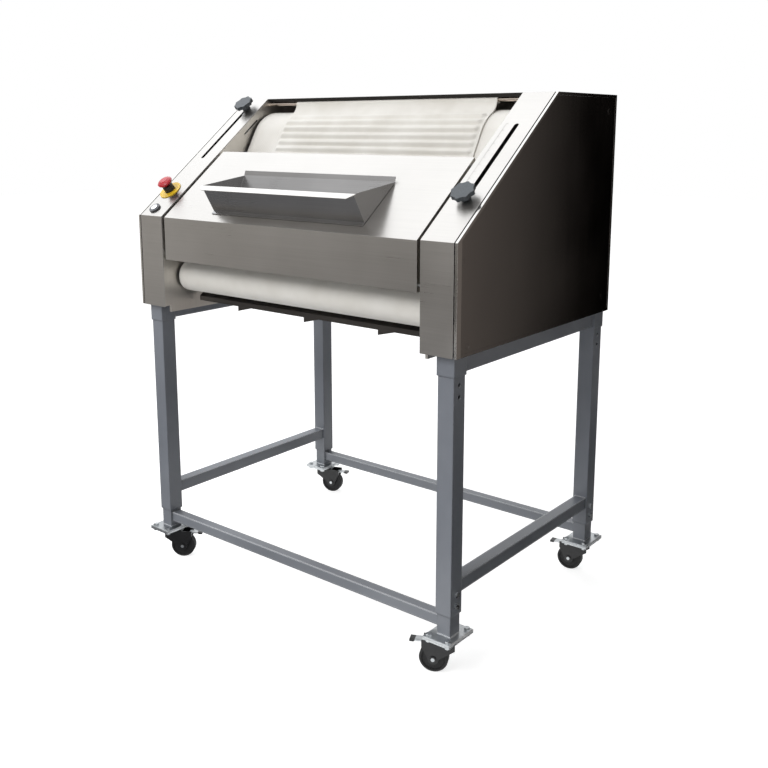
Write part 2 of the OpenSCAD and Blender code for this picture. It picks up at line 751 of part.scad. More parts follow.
// front cover with its side flanges
cover_pts = [[yy(cover_sink), bend_line_z - cover_front_h], [yy(cover_sink), bend_line_z - cover_sink],
    sl(cover_slope_l, -cover_sink)];
module cover_line(t) union() {
    strip(cover_pts[1], cover_pts[0], t);
    strip(cover_pts[2], cover_pts[1], t);
}
hop_x = hopper_w / 2;
module front_cover() color("gainsboro") difference() {
    union() {
        along_x(-cover_x, cover_x) cover_line(sheet);
        both() along_x(cover_x - sheet, cover_x) cover_line(cover_flange);
    }
    on_slope(0, hopper_s0 - over, -cover_flange)
        translate([-hop_x - over, 0, 0])
            cube([hopper_w + 2 * over, hopper_s1 - hopper_s0 + 2 * over, 2 * cover_flange]);
    for (p = pegs) rod(p, peg_d + 2 * slip, -x_in, x_in);
}
module cover_pegs() color("silver") both() for (p = pegs) rod(p, peg_d, cover_x - peg_in, x_plate);
module rear_cover() color("gainsboro") along_x(-x_in + clear, x_in - clear) {
    translate([y_front + slope_run + over, top_z - rear_lip]) square([sheet, rear_lip]);
    translate([y_front + slope_run + over, top_z - sheet]) square([body_d - slope_run - over, sheet]);
    translate([y_back - sheet, base_z]) square([sheet, front_h + slope_rise]);
}
module tie_bars() color("silver") for (t = tie_pts) {
    rod(t, tie_d, -x_in, x_in);
    rod(t, tie_d - tie_reach, -x_plate, x_plate);
}
// hopper of folded sheet, drawn up the slope
hop_low = -5;
hop_back_s = 118;
hop_back_n = -26;
hop_tip_s = 10;
hop_tip_n = 7;
hop_rest = 9;
hop_lift = slip - cover_sink;
hop_pts = [[hopper_s0, hop_low], [hopper_s0 + hopper_lean, hopper_h], [lip_s, lip_n],
    [hopper_s1, hop_lift + sheet],
    [hopper_s1 + hop_tip_s, hop_tip_n], [hop_back_s, hop_back_n], [feed_d + hop_tip_s, hop_low]];
lip_x = hop_x + lip_ear;
module hopper() color("lightgray") on_slope(0, 0, 0) {
    translate([0, 0, lip_n - sheet]) linear_extrude(sheet)
        polygon([[-lip_x, hop_pts[1][0] + sheet / 2], [lip_x, hop_pts[1][0] + sheet / 2],
            [lip_x - lip_slant, lip_s], [lip_slant - lip_x, lip_s]]);
    along_x(-hop_x, hop_x) {
        strip(hop_pts[1], hop_pts[0], sheet);
        strip(hop_pts[5], hop_pts[3], sheet);
        strip(hop_pts[3], hop_pts[4], sheet);
        strip([hopper_s0 + over, hop_lift], [hopper_s0 - hop_rest, hop_lift], -sheet);
    }
    both() along_x(hop_x - sheet, hop_x)
        polygon([hop_pts[0], hop_pts[1], hop_pts[3], hop_pts[5], hop_pts[6]]);
}

// rollers, belt and cloth
module roller(p, d, w, shaft, x0, x1) {
    rod(p, d, -w / 2, w / 2);
    rod(p, shaft, x0, x1);
}
// tube with two end discs, each with four round openings, on a through shaft
module tube_roller(p, d, vent, shaft, x0, x1) {
    difference() {
        rod(p, d, -roller_x, roller_x);
        rod(p, d - 2 * roller_wall, disc_t - roller_x, roller_x - disc_t);
        for (a = [0:quarter:turn - quarter])
            rod(polar(p, (d / 2 - roller_wall + shaft / 2) / 2, a), vent, -roller_x - over, roller_x + over);
    }
    rod(p, shaft, x0, x1);
}
x_bear = x_plate + bear_t;
chain_f_in = 32;
chain_m_in = 63;
gear_in = 19;
x_chain_f = x_plate + chain_f_in;
x_chain_m = x_plate + chain_m_in;
x_gear = x_plate + gear_in;
module front_roller() color("silver")
    tube_roller(p_front, front_roller_d, front_vent_d, front_shaft_d, -x_bear, x_bear);
module top_drum() color("silver")
    tube_roller(p_drum, drum_d, drum_vent_d, drum_shaft_d, -x_bear, x_chain_m + chain_w + over);
module bend_roller() color("silver") roller(p_bend, bend_d, roller_w, small_shaft_d, -x_bear, x_bear);
module feed_roller() color("white")
    roller(p_feed, feed_d, feed_w, small_shaft_d, -x_bear, x_chain_f + chain_w + over);
module moving_roller() color("white")
    roller(p_feed2, feed_d, feed_w, small_shaft_d, -x_plate - bar_t, x_gear + gear_w + over);
// belt path, outer surface at k = 0 and inner surface at k = belt_t
arc_n = 40;
bend_arc_n = 12;
function belt_path(k) = concat(
    arc(p_front, front_R - k, run_mid + quarter, run_low + quarter + turn / 2, arc_n),
    arc(p_drum, drum_R - k, run_low - quarter, run_top + quarter, arc_n),
    arc(p_bend, bend_R + k, run_top - quarter, run_mid - quarter, bend_arc_n));
module main_belt() color("ivory") along_x(-roller_x, roller_x) difference() {
    polygon(belt_path(0));
    polygon(belt_path(belt_t));
}
// ribbed cloth: hangs from its rod, then lies in soft ribs on the drum and the upper run
cloth_off = drum_R + clear;
cloth_a0 = 118;
hem_R = rod_d / 2 + slip + cloth_t + clear;
cloth_p1 = polar(p_drum, cloth_off, cloth_a0);
cloth_p0 = [p_rod[0] - rod_d / 2 - 2 * slip, p_rod[1] + over];
cloth_k = (cloth_p0[0] - cloth_p1[0]) / sin(cloth_a0);
cloth_pc = [cloth_p0[0], cloth_p1[1] - cloth_k * cos(cloth_a0)];
arc_deg = run_top + quarter - cloth_a0;
arc_len = arc_deg * PI / (turn / 2) * cloth_off;
function rib(u, k) = k + rib_h / 2 * (1 - cos(turn * u / rib_pitch));
function cloth_at(u, k) = u < arc_len
    ? polar(p_drum, cloth_off + rib(u, k), cloth_a0 + arc_deg * u / arc_len)
    : polar(polar(p_drum, cloth_off + rib(u, k), run_top + quarter), u - arc_len, run_top + turn / 2);
rib_steps = 8;
drop_steps = 6;
function drop_at(t, k) =
    let (b = (1 - t) * (1 - t) * cloth_p0 + 2 * t * (1 - t) * cloth_pc + t * t * cloth_p1)
    let (g = (1 - t) * (cloth_pc - cloth_p0) + t * (cloth_p1 - cloth_pc))
    b + k * [g[1], -g[0]] / norm(g);
cloth_n = rib_n * rib_steps;
cloth_len = rib_n * rib_pitch;
module curl_cloth() color("ivory") union() {
    along_x(cloth_x0, cloth_x1) polygon(concat(
        [for (i = [0:drop_steps - 1]) drop_at(i / drop_steps, 0)],
        [for (i = [0:cloth_n]) cloth_at(i * cloth_len / cloth_n, 0)],
        [for (i = [cloth_n:-1:0]) cloth_at(i * cloth_len / cloth_n, cloth_t)],
        [for (i = [drop_steps - 1:-1:0]) drop_at(i / drop_steps, cloth_t)]));
    along_x(cloth_x0, cloth_x1) difference() {
        translate(p_rod) circle(hem_R);
        translate(p_rod) circle(rod_d / 2 + slip);
    }
}
module cloth_rod() color("silver") rod(p_rod, rod_d, -x_plate, x_plate);
module bearings() color("dimgray") both() for (s = seats) difference() {
    union() {
        rod(s[0], s[2], x_plate, x_bear);
        rod(s[0], s[1] + spigot_add, x_in + over, x_bear);
    }
    rod(s[0], s[1] + 2 * run, x_in, x_bear + over);
}

// sliding carriage of the moving feed roller
arm_w = 18;
tie2_d = 10;
tie2_back = 30;
tie2_up = 16;
tie2 = p_feed2 + [tie2_back, tie2_up];
cam_l = sl(cam_l_s, -cam_l_n);
x_bar_l = x_bear + clear;
module block_2d() translate(p_feed2 + [block_y0, -block_z]) square([block_y1 - block_y0, 2 * block_z]);
module carriage_end() along_x(x_in, x_plate + clear) difference() {
    block_2d();
    translate(p_feed2) circle(d = small_shaft_d + 2 * run);
}
lap = 4;
module roller_carriage() color("lightsteelblue") difference() {
    union() {
        both() carriage_end();
        both() along_x(x_plate + clear, x_plate + bar_t) translate(p_feed2 + [block_y0, -block_z - lap])
            square([block_y1 - block_y0, 2 * block_z + 2 * lap]);
        rod(tie2, tie2_d, -x_in - over, x_in + over);
        mirror([1, 0, 0]) along_x(x_plate + clear, x_plate + bar_t) long_hole(tie2, cam_l, arm_w);
        rod(cam_l, cam_pin_d, -x_bar_l - bar_t - over, -x_plate - bar_t);
    }
    rod(p_feed2, small_shaft_d + 2 * run, -x_out, x_out);
}
// lower pressure board with its lip, tabs and guide rods
board_x = roller_x;
cam_r = sl(cam_r_s, -cam_r_n);
bar_r_in = 51;
x_bar_r = x_plate + bar_r_in;
module pressure_board() color("gray") {
    along_x(-board_x, board_x) strip(bd(board_l, -board_t), bd(0, -board_t), -board_t);
    translate([0, board_p[0] + board_t, 0]) rotate([quarter, 0, 0]) linear_extrude(board_t) {
        translate([-board_x, board_p[1] - board_lip]) square([2 * board_x, board_lip]);
        for (i = [-1, 0, 1]) translate([i * tab_pitch - tab_left, board_p[1] - board_lip])
            polygon([[0, over], [0, -tab_h], [tab_w, 0], [tab_w, over]]);
    }
    for (p = [guide_p0, guide_p1]) rod(bd(p, guide_n), guide_d, -x_plate - clear, x_plate + clear);
    along_x(x_plate + clear, x_plate + bar_t + clear) long_hole(bd(guide_p1, guide_n), cam_r, arm_w);
    rod(cam_r, cam_pin_d, x_plate + bar_t, x_bar_r + bar_t + over);
}
// adjuster sliders
clamp_w = 28;
clamp_l = 50;
clamp_t = 5;
bar_h = 22;
bar_end = 14;
stud_h = 14;
module cam_bar(s_rel0, s_rel1, n0, deg, s_pin) difference() {
    union() {
        translate([s_rel0 - bar_end, -n0 - bar_h]) square([s_rel1 - s_rel0 + 2 * bar_end, 2 * bar_h]);
        translate([-clamp_l / 2, -n0]) square([clamp_l, n0 - sheet - clear]);
    }
    long_hole([s_rel0, -n0 + (s_rel0 - s_pin) * tan(deg)],
        [s_rel1, -n0 + (s_rel1 - s_pin) * tan(deg)], cam_pin_d + 2 * run);
}
module slider_top(x_to) {
    translate([0, 0, -sheet - clear]) linear_extrude(sheet + clear)
        long_hole([0, slot_w / 2 - key_l / 2], [0, key_l / 2 - slot_w / 2], slot_w - 2 * run);
    translate([min(-clamp_w / 2, x_to), -clamp_l / 2, -sheet - clear - clamp_t])
        cube([max(clamp_w / 2, x_to) - min(-clamp_w / 2, x_to), clamp_l, clamp_t]);
    cylinder(d = stud_d, h = stud_h);
}
module left_slider() color("silver") on_slope(slot_xl, knob_l_s, 0) {
    x0 = -x_bar_l - bar_t - slot_xl;
    travel = slide_l + feed_open * cos(slope_deg);
    slider_top(x0 + bar_t);
    along_x(x0, x0 + bar_t) cam_bar(cam_l_s - knob_l_s - over, cam_l_s - knob_l_s + travel + over, cam_l_n,
        cam_l_deg, cam_l_s - knob_l_s);
}
module right_slider() color("silver") on_slope(slot_xr, knob_r_s, 0) {
    x0 = x_bar_r - slot_xr;
    slider_top(x0 + bar_t);
    along_x(x0, x0 + bar_t) cam_bar(cam_r_s - knob_r_s - slide_r - over, cam_r_s - knob_r_s + over, cam_r_n,
        cam_r_deg, cam_r_s - knob_r_s);
}
lobe_in = 3;
module knob() difference() {
    union() {
        translate([0, 0, knob_top - knob_head]) linear_extrude(knob_head) union() {
            circle(d = knob_d - 2 * lobe_in);
            for (i = [0:knob_lobes - 1]) rotate(i * turn / knob_lobes)
                translate([knob_d / 2 - 2 * lobe_in, 0]) circle(2 * lobe_in);
        }
        translate([0, 0, over]) cylinder(d = knob_hub_d, h = knob_top - over - knob_head / 2);
    }
    cylinder(d = stud_d + 2 * run, h = stud_h + over);
}
module left_knob() color("slategray") on_slope(slot_xl, knob_l_s, 0) knob();
module right_knob() color("slategray") on_slope(slot_xr, knob_r_s, 0) knob();

// controls
collar_t = 2;
stop_neck = 28;
stop_neck_h = 18;
stop_box = 38;
stop_deep = 50;
stop_stem = 14;
module stop_collar() color("gold") on_slope(stop_x, stop_s, 0) difference() {
    cylinder(d = collar_d, h = collar_t);
    translate([0, 0, -over]) cylinder(d = stop_hole + 2 * slip, h = collar_t + 2 * over);
}
module stop_body() color("dimgray") on_slope(stop_x, stop_s, 0) difference() {
    union() {
        translate([0, 0, collar_t]) cylinder(d = stop_neck, h = stop_neck_h - collar_t);
        translate([0, 0, -stop_deep / 2]) cylinder(d = stop_hole, h = stop_deep / 2 + stop_neck_h);
        translate([-stop_box / 2, -stop_box / 2, -stop_deep]) cube([stop_box, stop_box, stop_deep / 2]);
        translate([0, 0, -sheet - clear - collar_t]) cylinder(d = stop_neck, h = collar_t);
    }
    translate([0, 0, -stop_push - over]) cylinder(d = stop_stem + 2 * run, h = stop_deep);
}
head_t = 12;
module stop_head() color("firebrick") on_slope(stop_x, stop_s, 0) {
    rotate_extrude($fn = fine_fn) polygon([[0, stop_h - head_t], [stop_d / 2 - head_t / 4, stop_h - head_t],
        [stop_d / 2, stop_h - head_t + head_t / 4], [stop_d / 2, stop_h - head_t / 2],
        [stop_d / 2 - head_t / 4, stop_h - head_t / 4], [stop_d / 4, stop_h], [0, stop_h]]);
    cylinder(d = stop_stem, h = stop_h - head_t / 2);
}
bezel_h = 4;
start_deep = 24;
button_d = 18;
button_out = 3;
module start_bezel() color("silver") on_slope(start_x, start_s, 0) difference() {
    union() {
        cylinder(d = bezel_d, h = bezel_h);
        translate([0, 0, -start_deep]) cylinder(d = start_hole, h = start_deep + over);
    }
    translate([0, 0, -start_push - bezel_h]) cylinder(d = button_d + 2 * run, h = start_deep);
}
module start_button() color("silver") on_slope(start_x, start_s, 0)
    translate([0, 0, -bezel_h]) cylinder(d = button_d, h = 2 * bezel_h + button_out - start_push / 2);

// drive in the right side housing
case_hole = 40;
box_w = 60;
box_h = 30;
module gear_motor() color("dimgray") difference() {
    union() {
        box([x_in - gear_case_w, p_motor[0] - gear_case / 2, p_motor[1] - gear_case / 2],
            [x_in, p_motor[0] + gear_case / 2, p_motor[1] + gear_case / 2]);
        rod(p_motor, motor_d, x_in - gear_case_w - motor_l, x_in - gear_case_w);
        box([x_in - gear_case_w - motor_l / 2 - box_w / 2, p_motor[0] - box_w / 2, p_motor[1]],
            [x_in - gear_case_w - motor_l / 2 + box_w / 2, p_motor[0] + box_w / 2,
                p_motor[1] + motor_d / 2 + box_h]);
    }
    rod(p_motor, motor_shaft_d + 2 * run, x_in - case_hole, x_in + over);
}
sprocket_hub = 12;
tooth_in = 2;
module toothed(r0, r1, n) union() {
    circle(r0);
    for (i = [0:n - 1]) rotate(i * turn / n) polygon([[0, -PI * r0 / n / 2], [r1, -PI * r0 / n / 4],
        [r1, PI * r0 / n / 4], [0, PI * r0 / n / 2]]);
}
module sprocket(p, r, shaft, x) along_x(x, x + chain_w) translate(p) difference() {
    toothed(r - chain_t / 2 - clear - tooth_in, r - chain_t / 2 - clear, round(r / tooth_in));
    circle(d = shaft);
}
module motor_sprocket() color("silver") {
    sprocket(p_motor, sprocket_m, motor_shaft_d / 2, x_chain_m);
    rod(p_motor, motor_shaft_d, x_in - case_hole + over, x_chain_m + chain_w);
}
module drum_sprockets() color("silver") {
    sprocket(p_drum, sprocket_d, drum_shaft_d, x_chain_m);
    sprocket(p_drum, sprocket_f, drum_shaft_d, x_chain_f);
}
module feed_sprocket() color("silver") sprocket(p_feed, sprocket_a, small_shaft_d, x_chain_f);
module star_gear(p, a) along_x(x_gear, x_gear + gear_w) translate(p) rotate(a) difference() {
    toothed(gear_root, gear_tip, gear_n);
    circle(d = small_shaft_d);
}
module feed_gear() color("silver") star_gear(p_feed, 0);
module moving_gear() color("silver") star_gear(p_feed2, turn / 2 + turn / gear_n / 2);
module loop(p, r, q, s) {
    a = ang(p, q);
    b = asin((s - r) / dist(p, q));
    polygon(concat(arc(p, r, a + quarter + b, a + turn - quarter - b, arc_n),
        arc(q, s, a - quarter - b, a + quarter + b, arc_n)));
}
module chain(p, r, q, s, x) along_x(x, x + chain_w) difference() {
    loop(p, r + chain_t / 2, q, s + chain_t / 2);
    loop(p, r - chain_t / 2, q, s - chain_t / 2);
}
module chains() color("dimgray") {
    chain(p_motor, sprocket_m, p_drum, sprocket_d, x_chain_m);
    chain(p_feed, sprocket_a, p_drum, sprocket_f, x_chain_f);
}

left_leg_frame();
right_leg_frame();
front_base_rail();
rear_base_rail();
stand_bolts();
caster_plates();
caster_bolts();
fork_fl();
fork_fr();
fork_rl();
fork_rr();
wheel_fl();
wheel_fr();
wheel_rl();
wheel_rr();
pedal_fl();
pedal_fr();
pedal_rl();
pedal_rr();
body_base();
left_plate();
right_plate();
left_housing();
right_housing();
left_panel();
right_panel();
panel_screws();
front_cover();
cover_pegs();
rear_cover();
tie_bars();
hopper();
front_roller();
top_drum();
bend_roller();
main_belt();
curl_cloth();
cloth_rod();
bearings();
feed_roller();
moving_roller();
roller_carriage();
pressure_board();
left_slider();
right_slider();
left_knob();
right_knob();
stop_collar();
stop_body();
stop_head();
start_bezel();
start_button();
gear_motor();
motor_sprocket();
drum_sprockets();
feed_sprocket();
feed_gear();
moving_gear();
chains();
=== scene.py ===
import math

import bpy
import numpy as np
from mathutils import Matrix, Vector


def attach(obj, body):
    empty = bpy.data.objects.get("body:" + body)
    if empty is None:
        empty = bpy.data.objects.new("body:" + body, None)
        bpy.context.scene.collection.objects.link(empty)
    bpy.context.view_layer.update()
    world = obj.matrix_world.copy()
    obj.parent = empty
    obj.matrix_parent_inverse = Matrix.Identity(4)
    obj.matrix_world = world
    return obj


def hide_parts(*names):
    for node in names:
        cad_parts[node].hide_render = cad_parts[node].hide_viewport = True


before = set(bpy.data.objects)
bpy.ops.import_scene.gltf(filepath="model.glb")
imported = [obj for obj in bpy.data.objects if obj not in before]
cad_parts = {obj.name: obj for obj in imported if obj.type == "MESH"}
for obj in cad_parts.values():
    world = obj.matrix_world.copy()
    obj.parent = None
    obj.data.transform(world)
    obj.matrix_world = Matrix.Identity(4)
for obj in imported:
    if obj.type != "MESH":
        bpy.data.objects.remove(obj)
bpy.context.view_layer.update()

# Camera: a standing person's eye level in front of the right corner.
# The lens is a short portrait lens, raised a little in its mount.
PHOTO, SENSOR_MM = 768, 36
FOCAL_PX, CENTRE_PX = 950.2, 307
EYE = Vector((1.5401, -1.8713, 1.1675))
YAW, PITCH = math.radians(38.696), math.radians(10.682)
camera = bpy.data.objects.new("camera", bpy.data.cameras.new("camera"))
camera.data.sensor_width = SENSOR_MM
camera.data.lens = SENSOR_MM * FOCAL_PX / PHOTO
camera.data.shift_y = (CENTRE_PX - PHOTO / 2) / PHOTO
look = Vector((-math.sin(YAW) * math.cos(PITCH), math.cos(YAW) * math.cos(PITCH), -math.sin(PITCH)))
camera.matrix_world = Matrix.Translation(EYE) @ look.to_track_quat("-Z", "Y").to_matrix().to_4x4()
bpy.context.collection.objects.link(camera)
bpy.context.scene.camera = camera
bpy.context.scene.view_settings.view_transform = "Standard"


# Studio: a white sweep under soft light, with a large softbox above on the left.
# Plain glowing cards stand and lie out of the camera's sight: they paint the reflections that the bare steel
# shows.
def linear(code):
    """sRGB hex to linear colour: each channel c becomes ((c + 0.055) / 1.055) ** 2.4 above the toe."""
    c = np.array([int(code[i:i + 2], 16) for i in (1, 3, 5)]) / 255
    c = np.where(c <= 0.04045, c / 12.92, ((c + 0.055) / 1.055) ** 2.4)
    return (*c, 1.0)


def add(tree, kind, inputs=None, **settings):
    """Adds one node: settings are its own properties, inputs are its values or the sockets that feed them."""
    node = tree.nodes.new(kind)
    for key, value in settings.items():
        setattr(node, key, value)
    for key, value in (inputs or {}).items():
        if isinstance(value, bpy.types.NodeSocket):
            tree.links.new(value, node.inputs[key])
        else:
            node.inputs[key].default_value = value
    return node


def surface(name, points, material, close_u=False):
    """Smooth mesh over a grid of points, rows u by columns v by xyz. With close_u the last row joins
    the first."""
    nu, nv = points.shape[:2]
    u, v = np.meshgrid(np.arange(nu if close_u else nu - 1), np.arange(nv - 1), indexing="ij")
    u2, v2 = (u + 1) % nu, v + 1
    quads = np.stack([u * nv + v, u2 * nv + v, u2 * nv + v2, u * nv + v2], -1).reshape(-1, 4)
    mesh = bpy.data.meshes.new(name)
    mesh.from_pydata(points.reshape(-1, 3), [], quads)
    mesh.polygons.foreach_set("use_smooth", np.full(len(quads), True))
    mesh.materials.append(material)
    piece = bpy.data.objects.new(name, mesh)
    bpy.context.collection.objects.link(piece)
    return piece


# the air is bright on the left and dim on the right
AIR_BRIGHT, AIR_DIM, DIM_SIDE = 1.00, 0.04, (0.96, 0.28, 0.0)
BRIGHT_UP_TO, DIM_FROM = -0.4, 0.35
world = bpy.data.worlds.new("studio")
bpy.context.scene.world = world
world.use_nodes = True
air = world.node_tree
air.nodes.clear()


def seen_directly(tree):
    """Socket that is 1 for camera, glossy and transmission rays and 0 for the rays that light things."""
    path = add(tree, "ShaderNodeLightPath")
    seen = path.outputs["Is Camera Ray"]
    for ray in ("Is Glossy Ray", "Is Transmission Ray"):
        seen = add(tree, "ShaderNodeMath", {0: seen, 1: path.outputs[ray]}, operation="MAXIMUM").outputs[0]
    return seen


facing = add(air, "ShaderNodeTexCoord").outputs["Generated"]
facing = add(air, "ShaderNodeVectorMath", {0: facing, 1: DIM_SIDE}, operation="DOT_PRODUCT").outputs["Value"]
ambient = add(air, "ShaderNodeMapRange", {"Value": facing, "From Min": BRIGHT_UP_TO, "From Max": DIM_FROM,
                                          "To Min": AIR_BRIGHT, "To Max": AIR_DIM}).outputs[0]
level = add(air, "ShaderNodeMix", {0: seen_directly(air), 2: ambient, 3: 1.0}).outputs[0]
glow = add(air, "ShaderNodeBackground", {"Color": linear("#ffffff"), "Strength": level})
add(air, "ShaderNodeOutputWorld", {"Surface": glow.outputs[0]})

# the sweep is lit less brightly than the air, so to the eye it makes up the rest itself, under its shadows
SWEEP_GLOW = 0.76
sweep = bpy.data.materials.new("white_sweep")
sweep.use_nodes = True
tree = sweep.node_tree
shader = tree.nodes["Principled BSDF"]
shader.inputs["Base Color"].default_value = linear("#cdcdcc")
shader.inputs["Roughness"].default_value = 0.9
shader.inputs["Emission Color"].default_value = linear("#ffffff")
glow = add(tree, "ShaderNodeMath", {0: seen_directly(tree), 1: SWEEP_GLOW}, operation="MULTIPLY")
tree.links.new(glow.outputs[0], shader.inputs["Emission Strength"])
FLOOR = 14.0
edge = np.linspace(-FLOOR, FLOOR, 3)
floor = surface("floor", np.stack([*np.meshgrid(edge, edge, indexing="ij"), np.zeros((3, 3))], -1), sweep)


def softbox(name, place, target, size, power, tint):
    """Square area lamp at place, turned to face target. Its size is in metres and its power in watts."""
    lamp = bpy.data.lights.new(name, "AREA")
    lamp.size = size
    lamp.energy = power
    lamp.color = linear(tint)[:3]
    box = bpy.data.objects.new(name, lamp)
    box.location = place
    box.rotation_euler = (Vector(target) - Vector(place)).to_track_quat("-Z", "Y").to_euler()
    box.visible_camera = False
    bpy.context.collection.objects.link(box)


softbox("key_softbox", (-1.4, 0.3, 3.3), (0, 0, 1.0), 3.4, 51, "#f4f9ff")
softbox("front_softbox", (-0.1, -3.0, 3.0), (0, -0.3, 0.5), 1.8, 52, "#ffffff")


# The cards glow with their own tone instead of being lit: they paint the reflections in the steel.
def card(name, centre, across, up, dark, pale, fade):
    """Flat card spanned by two half vectors, seen only in reflections. It goes from dark to pale as the
    dot product of fade and the place on the card, from its middle, goes from -0.5 to 0.5."""
    paper = bpy.data.materials.new(name)
    paper.use_nodes = True
    tree = paper.node_tree
    tree.nodes.clear()
    place = add(tree, "ShaderNodeTexCoord").outputs["Object"]
    share = add(tree, "ShaderNodeVectorMath", {0: place, 1: fade}, operation="DOT_PRODUCT").outputs["Value"]
    share = add(tree, "ShaderNodeMath", {0: share, 1: 0.5}).outputs[0]
    tone = add(tree, "ShaderNodeMix", {0: share, 6: linear(dark), 7: linear(pale)}, data_type="RGBA")
    shine = add(tree, "ShaderNodeEmission", {"Color": tone.outputs[2], "Strength": 1.0})
    add(tree, "ShaderNodeOutputMaterial", {"Surface": shine.outputs[0]})
    a, b = np.meshgrid([-1.0, 1.0], [-1.0, 1.0], indexing="ij")
    piece = surface(name, a[..., None] * np.array(across) + b[..., None] * np.array(up), paper)
    piece.location = centre
    piece.visible_camera = piece.visible_diffuse = piece.visible_shadow = piece.visible_transmission = False


card("dark_card", (1.75, 1.75, 1.1), (1.5, -1.06, 0), (0, 0, 1.6), "#000000", "#f6ece4", (1.6, 0, 0.05))
card("grey_card", (-2.0, -2.7, 0.44), (2.2, -1.65, 0), (0, 0, 1.9), "#686562", "#cbc8c4", (-0.44, 0, 0.95))
card("left_floor_card", (-1.3, -1.6, 0.01), (1.4, 0, 0), (0, 1.35, 0), "#8e8e90", "#8e8e90", (0, 0, 0))
card("right_floor_card", (1.65, 0.6, 0.01), (1.1, 0, 0), (0, 1.3, 0), "#222120", "#222120", (0, 0, 0))


# Stand: square steel tube, cut, welded and powder coated in mid grey.
# The legs slip into the base rails below and into the sockets above, and are bolted.
def finish(name, code, roughness, metallic=0.0):
    """New material with its shader: one colour, roughness and metallic value, ready for nodes."""
    material = bpy.data.materials.new(name)
    material.use_nodes = True
    shader = material.node_tree.nodes["Principled BSDF"]
    shader.inputs["Base Color"].default_value = linear(code)
    shader.inputs["Roughness"].default_value = roughness
    shader.inputs["Metallic"].default_value = metallic
    return material, material.node_tree, shader


def dress(material, *names):
    """Gives the named CAD nodes this material in all their slots."""
    for name in names:
        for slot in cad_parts[name].material_slots:
            slot.material = material


def soft_edges(tree, bump, radius):
    """Lets the edges catch the light, as if rounded by this radius in metres."""
    edge = add(tree, "ShaderNodeBevel", {"Radius": radius}, samples=4)
    tree.links.new(edge.outputs[0], bump.inputs["Normal"])
    return edge.outputs[0]


def per_m(mm):
    """Texture scale, in repeats per metre, for a detail of this many millimetres."""
    return 1000 / mm


def two_tone(tree, value, dark, pale):
    """Colour socket that runs from dark to pale as value, a noise around 0.5, goes from 0.3 to 0.7."""
    ramp = add(tree, "ShaderNodeValToRGB", {"Fac": value})
    ramp.color_ramp.elements[0].position, ramp.color_ramp.elements[0].color = 0.3, linear(dark)
    ramp.color_ramp.elements[1].position, ramp.color_ramp.elements[1].color = 0.7, linear(pale)
    return ramp.outputs["Color"]


# Powder coat: a thick satin film with a faint orange peel, a little dusty and paler near the floor.
# Along the edges that face up it is painted pale, a painted highlight. The foot plates are left zinc plated.
PEEL_MM, CLOUD_MM, TUBE_EDGE, FOOT_TOP = 3, 180, 0.005, 0.0925
DUST_FROM, DUST_UP_TO, DUST_SHARE = 0.09, 0.3, 0.2
HIGHLIGHT_FROM, HIGHLIGHT_FULL, HIGHLIGHT_UP = 0.99, 0.9, 0.2
powder_grey, tree, shader = finish("powder_coat_grey", "#757980", 0.45)
place = add(tree, "ShaderNodeTexCoord").outputs["Object"]
cloud = add(tree, "ShaderNodeTexNoise", {"Vector": place, "Scale": per_m(CLOUD_MM), "Detail": 4.0})
cloud = cloud.outputs["Fac"]
height = add(tree, "ShaderNodeSeparateXYZ", {"Vector": place}).outputs["Z"]
dust = add(tree, "ShaderNodeMapRange", {"Value": height, "From Min": DUST_FROM, "From Max": DUST_UP_TO,
                                        "To Min": DUST_SHARE, "To Max": 0.0})
coat = add(tree, "ShaderNodeMix", data_type="RGBA", inputs={
    0: dust.outputs[0], 6: two_tone(tree, cloud, "#747880", "#83878f"), 7: linear("#9a9c9f")})
sheen = add(tree, "ShaderNodeMapRange", {"Value": cloud, "To Min": 0.26, "To Max": 0.42})
tree.links.new(sheen.outputs[0], shader.inputs["Roughness"])
peel = add(tree, "ShaderNodeTexNoise", {"Vector": place, "Scale": per_m(PEEL_MM), "Detail": 2.0})
bump = add(tree, "ShaderNodeBump", {"Height": peel.outputs["Fac"], "Strength": 0.12, "Distance": 0.0006})
round_normal = soft_edges(tree, bump, TUBE_EDGE)
tree.links.new(bump.outputs[0], shader.inputs["Normal"])
flat_normal = add(tree, "ShaderNodeNewGeometry").outputs["True Normal"]
# painted highlight: paler where the bevel turns the normal away from the face, on edges that face up
turn = add(tree, "ShaderNodeVectorMath", {0: round_normal, 1: flat_normal}, operation="DOT_PRODUCT")
turn = turn.outputs["Value"]
painted_highlight = add(tree, "ShaderNodeMapRange", {"Value": turn, "From Min": HIGHLIGHT_FROM, "From Max": HIGHLIGHT_FULL}).outputs[0]
up = add(tree, "ShaderNodeSeparateXYZ", {"Vector": round_normal}).outputs["Z"]
up = add(tree, "ShaderNodeMath", {0: up, 1: HIGHLIGHT_UP}, operation="GREATER_THAN").outputs[0]
painted_highlight = add(tree, "ShaderNodeMath", {0: painted_highlight, 1: up}, operation="MULTIPLY").outputs[0]
coat = add(tree, "ShaderNodeMix", {0: painted_highlight, 6: coat.outputs[2], 7: linear("#e6e8ec")}, data_type="RGBA")
foot = add(tree, "ShaderNodeMath", {0: height, 1: FOOT_TOP}, operation="LESS_THAN").outputs[0]
coat = add(tree, "ShaderNodeMix", data_type="RGBA", inputs={
    0: foot, 6: coat.outputs[2], 7: two_tone(tree, cloud, "#b4b8bb", "#cbced0")})
tree.links.new(coat.outputs[2], shader.inputs["Base Color"])
tree.links.new(foot, shader.inputs["Metallic"])
dress(powder_grey, "left_leg_frame", "right_leg_frame", "front_base_rail", "rear_base_rail", "body_base")

